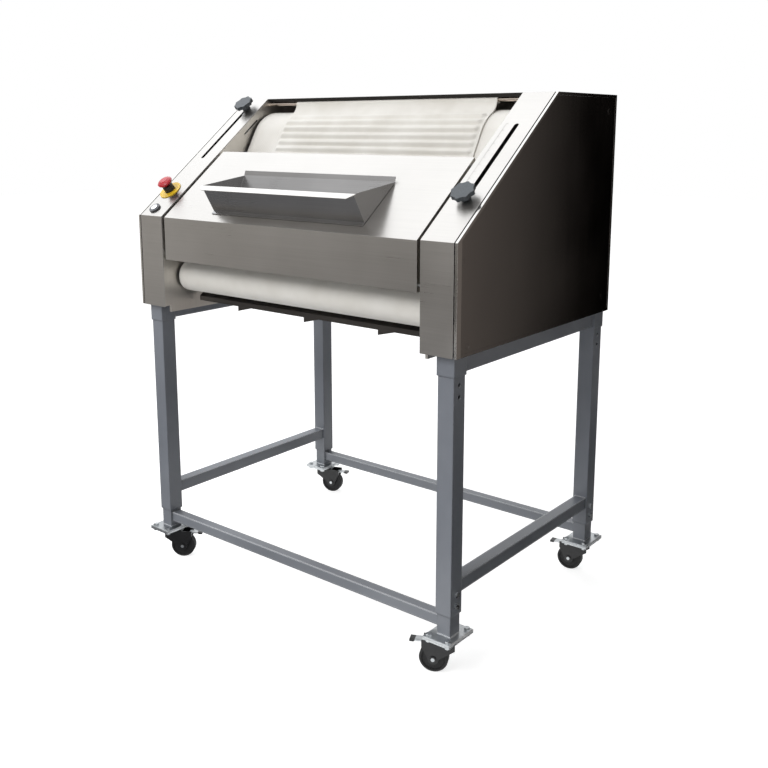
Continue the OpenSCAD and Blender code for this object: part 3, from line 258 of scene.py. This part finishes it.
# Zinc plate: bright bluish steel with a fine cloudy spangle. The bolts, the caster plates under the feet,
# the cover's pegs and the tie bars between the plates have it.
SPANGLE_MM = 5
zinc, tree, shader = finish("zinc_plate", "#c2c5c8", 0.3, 1.0)
place = add(tree, "ShaderNodeTexCoord").outputs["Object"]
flake = add(tree, "ShaderNodeTexVoronoi", {"Vector": place, "Scale": per_m(SPANGLE_MM)}).outputs["Color"]
grain = add(tree, "ShaderNodeSeparateColor", {"Color": flake}).outputs[0]
tree.links.new(two_tone(tree, grain, "#b4b8bb", "#cbced0"), shader.inputs["Base Color"])
sheen = add(tree, "ShaderNodeMapRange", {"Value": grain, "To Min": 0.24, "To Max": 0.38})
tree.links.new(sheen.outputs[0], shader.inputs["Roughness"])
dress(zinc, "stand_bolts", "caster_plates", "caster_bolts", "cover_pegs", "tie_bars")


# Casters: pressed steel forks in gloss black with a bright axle, black rubber wheels, and zinc brake
# pedals with a black rubber toe. Each swivels on its plate's king pin, and the toe clamps the tread.
LEG_X, LEG_Y = 0.464, (-0.30566, 0.31734)
TRAIL, AXLE_Z, AXLE_R, TOE_U = 0.030, 0.0325, 0.0042, 0.072
PRESS_MM = 12
# x and y of each king pin, and the direction of its trail in degrees
CASTERS = {"fl": (-LEG_X, LEG_Y[0], 35), "fr": (LEG_X, LEG_Y[0], 205),
           "rl": (-LEG_X, LEG_Y[1], 20), "rr": (LEG_X, LEG_Y[1], 190)}


def caster_metal(name, x, y, trail_deg, bright_if):
    """Black paint or rubber with zinc where bright_if says so. bright_if gets the tree and a socket with the
    place in the caster's own frame, which is u along its trail, v across it and the height."""
    material, tree, shader = finish(name, "#1b1b1d", 0.28)
    place = add(tree, "ShaderNodeTexCoord").outputs["Object"]
    own = add(tree, "ShaderNodeMapping", vector_type="TEXTURE", inputs={
        "Vector": place, "Location": (x, y, 0), "Rotation": (0, 0, math.radians(trail_deg))}).outputs[0]
    bright = bright_if(tree, own)
    press = add(tree, "ShaderNodeTexNoise", {"Vector": place, "Scale": per_m(PRESS_MM), "Detail": 3.0})
    press = press.outputs["Fac"]
    skin = add(tree, "ShaderNodeMix", data_type="RGBA", inputs={
        0: bright, 6: two_tone(tree, press, "#161617", "#242426"),
        7: two_tone(tree, press, "#b4b8bb", "#cbced0")})
    tree.links.new(skin.outputs[2], shader.inputs["Base Color"])
    tree.links.new(bright, shader.inputs["Metallic"])
    bump = add(tree, "ShaderNodeBump", {"Height": press, "Strength": 0.1, "Distance": 0.0005})
    tree.links.new(bump.outputs[0], shader.inputs["Normal"])
    return material


def near_axle(tree, own):
    """1 within AXLE_R of the axle's line, which runs across the trail."""
    flat = add(tree, "ShaderNodeVectorMath", {0: own, 1: (1, 0, 1)}, operation="MULTIPLY").outputs[0]
    gap = add(tree, "ShaderNodeVectorMath", {0: flat, 1: (TRAIL, 0, AXLE_Z)}, operation="DISTANCE")
    return add(tree, "ShaderNodeMath", {0: gap.outputs["Value"], 1: AXLE_R}, operation="LESS_THAN").outputs[0]


def before_toe(tree, own):
    """1 up to where the pedal's rubber toe begins."""
    u = add(tree, "ShaderNodeSeparateXYZ", {"Vector": own}).outputs["X"]
    return add(tree, "ShaderNodeMath", {0: u, 1: TOE_U}, operation="LESS_THAN").outputs[0]


for corner, (x, y, trail_deg) in CASTERS.items():
    dress(caster_metal("fork_paint_" + corner, x, y, trail_deg, near_axle), "fork_" + corner)
    dress(caster_metal("pedal_zinc_" + corner, x, y, trail_deg, before_toe), "pedal_" + corner)

# Moulded rubber: dull and almost black, with a fine grain and hardly any shine.
RUBBER_MM = 2
rubber, tree, shader = finish("black_rubber", "#1d1d1e", 0.72)
place = add(tree, "ShaderNodeTexCoord").outputs["Object"]
grain = add(tree, "ShaderNodeTexNoise", {"Vector": place, "Scale": per_m(RUBBER_MM), "Detail": 4.0})
tree.links.new(two_tone(tree, grain.outputs["Fac"], "#171718", "#29292a"), shader.inputs["Base Color"])
bump = add(tree, "ShaderNodeBump", {"Height": grain.outputs["Fac"], "Strength": 0.2, "Distance": 0.0004})
tree.links.new(bump.outputs[0], shader.inputs["Normal"])
dress(rubber, *("wheel_" + corner for corner in CASTERS))


# Body: folded stainless sheet over two thick bearing plates, brushed along its length.
# The housings are the tall sloping boxes left and right, each closed by a pan-shaped side panel.
def brushed(name, dark, pale, rough, grain_dir, smear_mm=220, draw_out=0.0):
    """Brushed metal: long thin noise streaks along grain_dir vary the gloss, and broad smears vary the tone.
    With draw_out, from 0 to 1, reflections are drawn out across the grain."""
    material, tree, shader = finish(name, pale, rough, 1.0)
    place = add(tree, "ShaderNodeTexCoord").outputs["Object"]
    # the real grain is about 0.1 mm wide; it is drawn 2 mm wide so that it shows
    streak_mm, length_mm = 2, 260
    streak_share, gloss_range, sheet_edge, quarter_turn = 0.35, 0.06, 0.0008, 0.25
    scale = [per_m(length_mm if axis == grain_dir else streak_mm) for axis in "XYZ"]
    lines = add(tree, "ShaderNodeMapping", {"Vector": place, "Scale": scale})
    streak = add(tree, "ShaderNodeTexNoise", {"Vector": lines.outputs[0], "Scale": 1.0, "Detail": 3.0})
    streak = streak.outputs["Fac"]
    smears = add(tree, "ShaderNodeTexNoise", {"Vector": place, "Scale": per_m(smear_mm), "Detail": 3.0})
    both = add(tree, "ShaderNodeMix", {0: streak_share, 2: smears.outputs["Fac"], 3: streak})
    tree.links.new(two_tone(tree, both.outputs[0], dark, pale), shader.inputs["Base Color"])
    gloss = add(tree, "ShaderNodeMapRange", {"Value": both.outputs[0], "From Min": 0.3, "From Max": 0.7,
                                             "To Min": rough - gloss_range, "To Max": rough + gloss_range})
    tree.links.new(gloss.outputs[0], shader.inputs["Roughness"])
    bump = add(tree, "ShaderNodeBump", {"Height": streak, "Strength": 0.06, "Distance": 0.0004})
    soft_edges(tree, bump, sheet_edge)
    tree.links.new(bump.outputs[0], shader.inputs["Normal"])
    shader.inputs["Anisotropic"].default_value = draw_out
    shader.inputs["Anisotropic Rotation"].default_value = quarter_turn
    tree.links.new(add(tree, "ShaderNodeCombineXYZ", {grain_dir: 1.0}).outputs[0], shader.inputs["Tangent"])
    return material


# Brushed stainless: soft, drawn-out reflections, a little smeared by hands and cloths.
stainless_x = brushed("stainless_brushed_across", "#aaa7a3", "#b9b6b2", 0.32, "X", draw_out=0.7)
stainless_z = brushed("stainless_brushed_upright", "#c4c0ba", "#d2cec8", 0.4, "Z")
dress(stainless_x, "left_housing", "right_housing", "front_cover")
dress(stainless_z, "left_plate", "right_plate")

# Side panels: steel pans coloured dark, a painted dark reflection, folded at the rim and screwed to standoffs
# on the plates.
# The raised strip along the front and the slope is left bright; on faces turned to the side it gets a mid tone,
# a painted reflection.
FRONT_Y, STRIP_FRONT, STRIP_EDGE = -0.34266, 0.016, 0.007
BEND_Z, SLOPE_RISE, SLOPE_RUN = 0.946, 0.300, 0.386
SLOPE = math.atan2(SLOPE_RISE, SLOPE_RUN)
# the dark tone is a painted dark reflection
dark_panel = brushed("stainless_dark_side", "#514d4b", "#5b5754", 0.16, "Z", 320)
tree = dark_panel.node_tree
painted_dark_reflection = tree.nodes["Principled BSDF"].inputs["Base Color"].links[0].from_socket
place = add(tree, "ShaderNodeTexCoord").outputs["Object"]
behind = add(tree, "ShaderNodeVectorMath", {0: place, 1: (0, 1 / STRIP_FRONT, 0)}, operation="DOT_PRODUCT")
under = add(tree, "ShaderNodeVectorMath", operation="DOT_PRODUCT",
            inputs={0: place, 1: (0, math.sin(SLOPE) / STRIP_EDGE, -math.cos(SLOPE) / STRIP_EDGE)})
behind = add(tree, "ShaderNodeMath", operation="SUBTRACT",
             inputs={0: behind.outputs["Value"], 1: FRONT_Y / STRIP_FRONT})
under = add(tree, "ShaderNodeMath", operation="SUBTRACT", inputs={
    0: under.outputs["Value"], 1: (FRONT_Y * math.sin(SLOPE) - BEND_Z * math.cos(SLOPE)) / STRIP_EDGE})
inside = add(tree, "ShaderNodeMath", {0: behind.outputs[0], 1: under.outputs[0]}, operation="MINIMUM")
inside = add(tree, "ShaderNodeMath", {0: inside.outputs[0], 1: 1.0}, operation="GREATER_THAN")
# in the strip: bright steel on faces turned to the front, a painted mid-tone reflection on faces turned to the
# side
strip = add(tree, "ShaderNodeSeparateXYZ", {"Vector": add(tree, "ShaderNodeNewGeometry").outputs["Normal"]})
strip = add(tree, "ShaderNodeMath", {0: strip.outputs["X"]}, operation="ABSOLUTE").outputs[0]
strip = add(tree, "ShaderNodeMix", {0: strip, 6: linear("#b9b6b2"), 7: linear("#716d6a")}, data_type="RGBA")
skin = add(tree, "ShaderNodeMix", {0: inside.outputs[0], 6: strip.outputs[2], 7: painted_dark_reflection}, data_type="RGBA")
tree.links.new(skin.outputs[2], tree.nodes["Principled BSDF"].inputs["Base Color"])
dress(dark_panel, "left_panel", "right_panel", "panel_screws")

# Rear cover: one folded stainless sheet between the housings, over the drum and down the back.
# Its front lip, ahead of LIP_Y, is coloured near black.
LIP_Y = 0.050
rear_steel = brushed("stainless_rear_cover", "#aca8a3", "#bab6b1", 0.3, "X")
tree = rear_steel.node_tree
bare = tree.nodes["Principled BSDF"].inputs["Base Color"].links[0].from_socket
place = add(tree, "ShaderNodeTexCoord").outputs["Object"]
rear = add(tree, "ShaderNodeSeparateXYZ", {"Vector": place}).outputs["Y"]
rear = add(tree, "ShaderNodeMath", {0: rear, 1: LIP_Y}, operation="GREATER_THAN").outputs[0]
skin = add(tree, "ShaderNodeMix", {0: rear, 6: linear("#393735"), 7: bare}, data_type="RGBA")
tree.links.new(skin.outputs[2], tree.nodes["Principled BSDF"].inputs["Base Color"])
dress(rear_steel, "rear_cover")

# Hopper: a bottomless stainless funnel, a tone darker than the housings; the darker tone is partly painted
# shade of its front wall. Its front lip is folded out and painted as bright as the slopes, a painted highlight.
LIP_UP = 0.0698
# the darker tone is partly painted shade of the front wall
hopper_steel = brushed("stainless_hopper", "#908f8f", "#a09f9f", 0.3, "X")
tree = hopper_steel.node_tree
bare = tree.nodes["Principled BSDF"].inputs["Base Color"].links[0].from_socket
place = add(tree, "ShaderNodeTexCoord").outputs["Object"]
off_slope = add(tree, "ShaderNodeVectorMath", operation="DOT_PRODUCT",
                inputs={0: place, 1: (0, -math.sin(SLOPE), math.cos(SLOPE))}).outputs["Value"]
lip_level = BEND_Z * math.cos(SLOPE) - FRONT_Y * math.sin(SLOPE) + LIP_UP
# painted highlight on the folded lip
painted_lip_highlight = add(tree, "ShaderNodeMath", {0: off_slope, 1: lip_level}, operation="GREATER_THAN").outputs[0]
skin = add(tree, "ShaderNodeMix", {0: painted_lip_highlight, 6: bare, 7: linear("#bcb9b5")}, data_type="RGBA")
tree.links.new(skin.outputs[2], tree.nodes["Principled BSDF"].inputs["Base Color"])
dress(hopper_steel, "hopper")


# Rollers and drive: turned steel rollers in flange bearings, white plastic feed rollers,
# chains, sprockets and the gear motor inside the housings.
# Turned steel: fine lines across the rollers, and a mid grey shine.
turned = brushed("turned_steel", "#8f8e8d", "#a3a2a1", 0.3, "Y", 60)
dress(turned, "front_roller", "top_drum", "bend_roller", "roller_carriage", "left_slider", "right_slider",
      "motor_sprocket", "drum_sprockets", "feed_sprocket", "feed_gear", "moving_gear")
# Drawn steel: smooth and bright, with faint lines along the rod; its peach tint is a painted warm reflection.
dress(brushed("drawn_steel_rod", "#d3c6ba", "#ddd1c6", 0.14, "X", 60), "cloth_rod")

# Painted casting: satin dark grey paint over a sandy cast skin.
CAST_MM = 4
cast_grey, tree, shader = finish("painted_casting", "#4a4d52", 0.5)
place = add(tree, "ShaderNodeTexCoord").outputs["Object"]
sand = add(tree, "ShaderNodeTexNoise", {"Vector": place, "Scale": per_m(CAST_MM), "Detail": 4.0})
tree.links.new(two_tone(tree, sand.outputs["Fac"], "#42454a", "#54575c"), shader.inputs["Base Color"])
bump = add(tree, "ShaderNodeBump", {"Height": sand.outputs["Fac"], "Strength": 0.3, "Distance": 0.0008})
tree.links.new(bump.outputs[0], shader.inputs["Normal"])
dress(cast_grey, "bearings", "gear_motor", "chains")

# Food-grade plastic: milky white and satin, faintly scuffed.
SCUFF_MM = 25
white_plastic, tree, shader = finish("white_food_plastic", "#e0dfdb", 0.4)
place = add(tree, "ShaderNodeTexCoord").outputs["Object"]
scuff = add(tree, "ShaderNodeTexNoise", {"Vector": place, "Scale": per_m(SCUFF_MM), "Detail": 5.0})
tree.links.new(two_tone(tree, scuff.outputs["Fac"], "#d8d7d2", "#e8e7e4"), shader.inputs["Base Color"])
dress(white_plastic, "feed_roller", "moving_roller")

# Pressure board: a flat steel plate under the lower belt run, with a dark front lip and three pointed tabs.
# The right-hand slider lowers it.
board_steel = brushed("mill_steel_board", "#4d4a48", "#5d5a57", 0.4, "X")
dress(board_steel, "pressure_board")


# Felt belt: one endless woven felt band, 3 mm thick, stretched over the front roller and the top drum.
# The small bend roller presses on its outer side, so the upper run is hollow.
def polar(centre, radius, degrees):
    """Points (y, z) on a circle: centre + radius (cos a, sin a), for an array of angles in degrees."""
    a = np.radians(np.asarray(degrees, float))
    return np.stack([centre[0] + radius * np.cos(a), centre[1] + radius * np.sin(a)], -1)


def spread(path, step):
    """Points along an open polyline, evenly spaced by about step."""
    run = np.concatenate([[0], np.cumsum(np.linalg.norm(np.diff(path, axis=0), axis=1))])
    at = np.linspace(0, run[-1], max(2, int(round(run[-1] / step)) + 1))
    return np.stack([np.interp(at, run, path[:, 0]), np.interp(at, run, path[:, 1])], -1), run[-1]


FRONT, DRUM, BEND = (-0.25966, 0.788), (0.07034, 1.108), (-0.13766, 0.995)
BELT_T, BELT_HALF, BELT_STEP = 0.003, 0.400, 0.006
FRONT_R, DRUM_R, BEND_R = 0.0400, 0.1005, 0.0245


def heading(a, b):
    """Direction from a to b in degrees, and their distance."""
    return math.degrees(math.atan2(b[1] - a[1], b[0] - a[0])), math.dist(a, b)


to_drum, gap = heading(BEND, DRUM)
RUN_TOP = to_drum + math.degrees(math.asin((DRUM_R + BEND_R) / gap))
to_bend, gap = heading(FRONT, BEND)
RUN_MID = to_bend - math.degrees(math.asin((FRONT_R + BEND_R) / gap))
to_drum, gap = heading(FRONT, DRUM)
RUN_LOW = to_drum - math.degrees(math.asin((DRUM_R - FRONT_R) / gap))
half = BELT_T / 2
loop = np.concatenate([
    polar(FRONT, FRONT_R - half, np.linspace(RUN_MID + 90, RUN_LOW + 270, 90)),
    polar(DRUM, DRUM_R - half, np.linspace(RUN_LOW - 90, RUN_TOP + 90, 150)),
    polar(BEND, BEND_R + half, np.linspace(RUN_TOP - 90, RUN_MID - 90, 24))])
loop, loop_length = spread(np.concatenate([loop, loop[:1]]), BELT_STEP)
loop = loop[:-1]
across = np.linspace(-BELT_HALF, BELT_HALF, 41)

# Woven felt: matted wool fibres, soft and dull, with a faint twill under the nap.
# It is woven endless, so the belt shows no seam.
FIBRE_MM, TWILL_MM, PATCH_MM, TWILL_SHARE = 1.6, 4, 90, 0.3
# at scale 1 the wave texture turns through 20 radians per unit
WAVE = 20 / (2 * math.pi)
felt, tree, shader = finish("woven_felt", "#e6e1d8", 0.95)
shader.inputs["Sheen Weight"].default_value = 0.25
shader.inputs["Sheen Roughness"].default_value = 0.6
place = add(tree, "ShaderNodeTexCoord").outputs["Object"]
fibre = add(tree, "ShaderNodeTexNoise", {"Vector": place, "Scale": per_m(FIBRE_MM), "Detail": 6.0})
patch = add(tree, "ShaderNodeTexNoise", {"Vector": place, "Scale": per_m(PATCH_MM), "Detail": 3.0})
twill = add(tree, "ShaderNodeTexWave", {"Vector": place, "Scale": per_m(TWILL_MM) / WAVE, "Distortion": 1.5},
            bands_direction="DIAGONAL")
nap = add(tree, "ShaderNodeMix", {0: TWILL_SHARE, 2: fibre.outputs["Fac"], 3: twill.outputs["Fac"]})
tree.links.new(two_tone(tree, patch.outputs["Fac"], "#dcd8d0", "#e8e5df"), shader.inputs["Base Color"])
bump = add(tree, "ShaderNodeBump", {"Height": nap.outputs[0], "Strength": 0.35, "Distance": 0.0008})
tree.links.new(bump.outputs[0], shader.inputs["Normal"])

belt_grid = np.stack(np.broadcast_arrays(across[None, :], loop[:, :1], loop[:, 1:]), -1)
belt = surface("felt_belt", belt_grid, felt, close_u=True)
wall = belt.modifiers.new("thickness", "SOLIDIFY")
wall.thickness, wall.offset = BELT_T, 0
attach(belt, "machine")
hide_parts("main_belt")


# Curling cloth: heavy white canvas with nine soft sewn ribs, hung from its rod by a turned hem.
# It lies on the belt over the drum and down the upper run, and curls the dough as it passes.
ROD, ROD_R = (0.05334, 1.232), 0.005
CLOTH_T, CLOTH_X, BORDER = 0.003, (-0.300, 0.340), 0.012
RIB_H, RIB_PITCH, RIBS = 0.005, 0.020, 9
CLOTH_GAP, CLOTH_START = 0.0005, 118
HEM_GAP, HEM_FROM, HEM_TO = 0.0002, -140, 180
lie = DRUM_R + CLOTH_GAP + CLOTH_T / 2
sweep_deg = RUN_TOP + 90 - CLOTH_START
arc_length = math.radians(sweep_deg) * (DRUM_R + CLOTH_GAP)
hem = polar(ROD, ROD_R + HEM_GAP + CLOTH_T / 2, np.linspace(HEM_FROM, HEM_TO, 40))
land = polar(DRUM, lie, CLOTH_START)
drop_t = np.linspace(0, 1, 30)[1:-1, None]
reach = (hem[-1, 0] - land[0]) / math.sin(math.radians(CLOTH_START))
knee = np.array([hem[-1, 0], land[1] - reach * math.cos(math.radians(CLOTH_START))])
drop = (1 - drop_t) ** 2 * hem[-1] + 2 * drop_t * (1 - drop_t) * knee + drop_t ** 2 * land
rib_u = np.linspace(0, RIBS * RIB_PITCH, RIBS * 18 + 1)
x = np.concatenate([np.linspace(CLOTH_X[0], CLOTH_X[0] + 2 * BORDER, 12),
                    np.linspace(CLOTH_X[0] + 2.6 * BORDER, CLOTH_X[1] - 2.6 * BORDER, 52),
                    np.linspace(CLOTH_X[1] - 2 * BORDER, CLOTH_X[1], 14)])


def rib_rise(u, x):
    """Height of the ribs above the lie: half a cosine per pitch, a little uneven as sewn ribs are, which
    dies out towards the flat border on either side."""
    uneven = 1 + 0.10 * np.sin(9 * x + 1.7 * np.round(u / RIB_PITCH)) + 0.06 * np.sin(23 * x + 40 * u)
    inside = np.minimum(x - CLOTH_X[0], CLOTH_X[1] - x) / BORDER - 1
    fade = np.clip(inside + 0.5, 0, 1) ** 2 * (3 - 2 * np.clip(inside + 0.5, 0, 1))
    return RIB_H / 2 * (1 - np.cos(2 * np.pi * u / RIB_PITCH)) * uneven * fade


u, xx = np.meshgrid(rib_u, x, indexing="ij")
rise = lie + rib_rise(u, xx)
on_arc = np.minimum(u, arc_length)
angle = np.radians(CLOTH_START + sweep_deg * on_arc / arc_length)
along = np.radians(RUN_TOP + 180)
beyond = u - on_arc
ribbed = np.stack([xx, DRUM[0] + rise * np.cos(angle) + beyond * np.cos(along),
                   DRUM[1] + rise * np.sin(angle) + beyond * np.sin(along)], -1)
head = np.concatenate([hem, drop])
head = np.stack(np.broadcast_arrays(x[None, :], head[:, :1], head[:, 1:]), -1)
cloth_grid = np.concatenate([head, ribbed])

# Canvas: tight plain weave of thick cotton, dull and slightly warm. The real thread spacing is
# about 1 mm; it is drawn at 2.4 mm so that it shows.
THREAD_MM = 2.4
canvas, tree, shader = finish("cotton_canvas", "#e9e5de", 0.9)
shader.inputs["Sheen Weight"].default_value = 0.2
place = add(tree, "ShaderNodeTexCoord").outputs["Object"]
warp = add(tree, "ShaderNodeTexWave", {"Vector": place, "Scale": per_m(THREAD_MM) / WAVE, "Distortion": 0.6},
           bands_direction="X").outputs["Fac"]
weft = add(tree, "ShaderNodeTexWave", {"Vector": place, "Scale": per_m(THREAD_MM) / WAVE, "Distortion": 0.6},
           bands_direction="Z").outputs["Fac"]
weave = add(tree, "ShaderNodeMath", {0: warp, 1: weft}, operation="MULTIPLY").outputs[0]
patch = add(tree, "ShaderNodeTexNoise", {"Vector": place, "Scale": per_m(PATCH_MM), "Detail": 3.0})
tree.links.new(two_tone(tree, patch.outputs["Fac"], "#d8d4cc", "#e6e3dd"), shader.inputs["Base Color"])
bump = add(tree, "ShaderNodeBump", {"Height": weave, "Strength": 0.25, "Distance": 0.0006})
tree.links.new(bump.outputs[0], shader.inputs["Normal"])
cloth = surface("ribbed_cloth", cloth_grid, canvas)
wall = cloth.modifiers.new("thickness", "SOLIDIFY")
wall.thickness, wall.offset = CLOTH_T, 0
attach(cloth, "machine")
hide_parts("curl_cloth")


# Adjusters: eight-lobed star knobs in slate plastic, which clamp the sliders in the slope's slots.
# A plain graduated strip beside the right slot shows the pressure board's setting.
# Moulded slate plastic: matt, with a fine spark texture from the mould.
MOULD_MM = 3
slate, tree, shader = finish("moulded_slate_plastic", "#3d4348", 0.5)
place = add(tree, "ShaderNodeTexCoord").outputs["Object"]
spark = add(tree, "ShaderNodeTexNoise", {"Vector": place, "Scale": per_m(MOULD_MM), "Detail": 3.0})
tree.links.new(two_tone(tree, spark.outputs["Fac"], "#363b40", "#464c51"), shader.inputs["Base Color"])
bump = add(tree, "ShaderNodeBump", {"Height": spark.outputs["Fac"], "Strength": 0.15, "Distance": 0.0003})
tree.links.new(bump.outputs[0], shader.inputs["Normal"])
dress(slate, "left_knob", "right_knob")


def on_slope(x, s, lift):
    """Points on the housings' slope: x across, s metres up the slope from the bend, lift metres off it."""
    x, s, lift = np.broadcast_arrays(x, s, lift)
    y = FRONT_Y + s * math.cos(SLOPE) - lift * math.sin(SLOPE)
    z = BEND_Z + s * math.sin(SLOPE) + lift * math.cos(SLOPE)
    return np.stack([x, y, z], -1)


# Engraved scale: a thin rule and eleven ticks, cut into the right slope.
# Grey ink fills them to just under the surface.
SCALE_X, SCALE_S, TICKS, TICK_L, GROOVE = 0.422, (0.144, 0.376), 11, 0.006, 0.001
INK_TOP, INK_T, WEAR_MM = -0.0001, 0.0002, 8
etched, tree, shader = finish("engraved_grey_ink", "#8f8b87", 0.6)
place = add(tree, "ShaderNodeTexCoord").outputs["Object"]
wear = add(tree, "ShaderNodeTexNoise", {"Vector": place, "Scale": per_m(WEAR_MM), "Detail": 4.0})
tree.links.new(two_tone(tree, wear.outputs["Fac"], "#83807c", "#9b9894"), shader.inputs["Base Color"])
marks = np.linspace(SCALE_S[0], SCALE_S[1] - GROOVE, TICKS)
left = np.append(np.full(TICKS, SCALE_X + GROOVE), SCALE_X)
right = np.append(np.full(TICKS, SCALE_X + TICK_L), SCALE_X + GROOVE)
low = np.append(marks, SCALE_S[0])
high = np.append(marks + GROOVE, SCALE_S[1])
corners = on_slope(np.stack([left, right, right, left], -1), np.stack([low, low, high, high], -1), INK_TOP)
mesh = bpy.data.meshes.new("pressure_scale")
mesh.from_pydata(corners.reshape(-1, 3), [], np.arange(corners.shape[0] * 4).reshape(-1, 4))
mesh.materials.append(etched)
scale = bpy.data.objects.new("pressure_scale", mesh)
bpy.context.collection.objects.link(scale)
ink = scale.modifiers.new("thickness", "SOLIDIFY")
ink.thickness, ink.offset = INK_T, -1
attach(scale, "machine")


# Controls: a red mushroom stop button on a black body with a yellow collar, and a chrome start button.
# Both sit in holes in the left slope.
def moulded(name, dark, pale, rough):
    """Injection-moulded plastic: even colour with a faint fine mottle and a soft gloss."""
    material, tree, shader = finish(name, pale, rough)
    place = add(tree, "ShaderNodeTexCoord").outputs["Object"]
    mottle = add(tree, "ShaderNodeTexNoise", {"Vector": place, "Scale": per_m(MOULD_MM), "Detail": 3.0})
    mottle, gloss_range = mottle.outputs["Fac"], 0.06
    tree.links.new(two_tone(tree, mottle, dark, pale), shader.inputs["Base Color"])
    gloss = add(tree, "ShaderNodeMapRange", {"Value": mottle, "To Min": rough - gloss_range,
                                             "To Max": rough + gloss_range})
    tree.links.new(gloss.outputs[0], shader.inputs["Roughness"])
    return material


dress(moulded("red_button_plastic", "#b01a26", "#c8202e", 0.3), "stop_head")
dress(moulded("yellow_collar_plastic", "#e0b81c", "#eec52a", 0.42), "stop_collar")
dress(moulded("black_button_plastic", "#18181a", "#232325", 0.45), "stop_body")

# Chrome plate: mirror bright, with a faint haze.
HAZE_MM = 5
chrome, tree, shader = finish("chrome_plate", "#d3d4d6", 0.1, 1.0)
place = add(tree, "ShaderNodeTexCoord").outputs["Object"]
haze = add(tree, "ShaderNodeTexNoise", {"Vector": place, "Scale": per_m(HAZE_MM), "Detail": 3.0}).outputs["Fac"]
gloss = add(tree, "ShaderNodeMapRange", {"Value": haze, "To Min": 0.06, "To Max": 0.18})
tree.links.new(gloss.outputs[0], shader.inputs["Roughness"])
dress(chrome, "start_button")
dress(moulded("grey_bezel_plastic", "#3c3d40", "#4a4b4e", 0.35), "start_bezel")
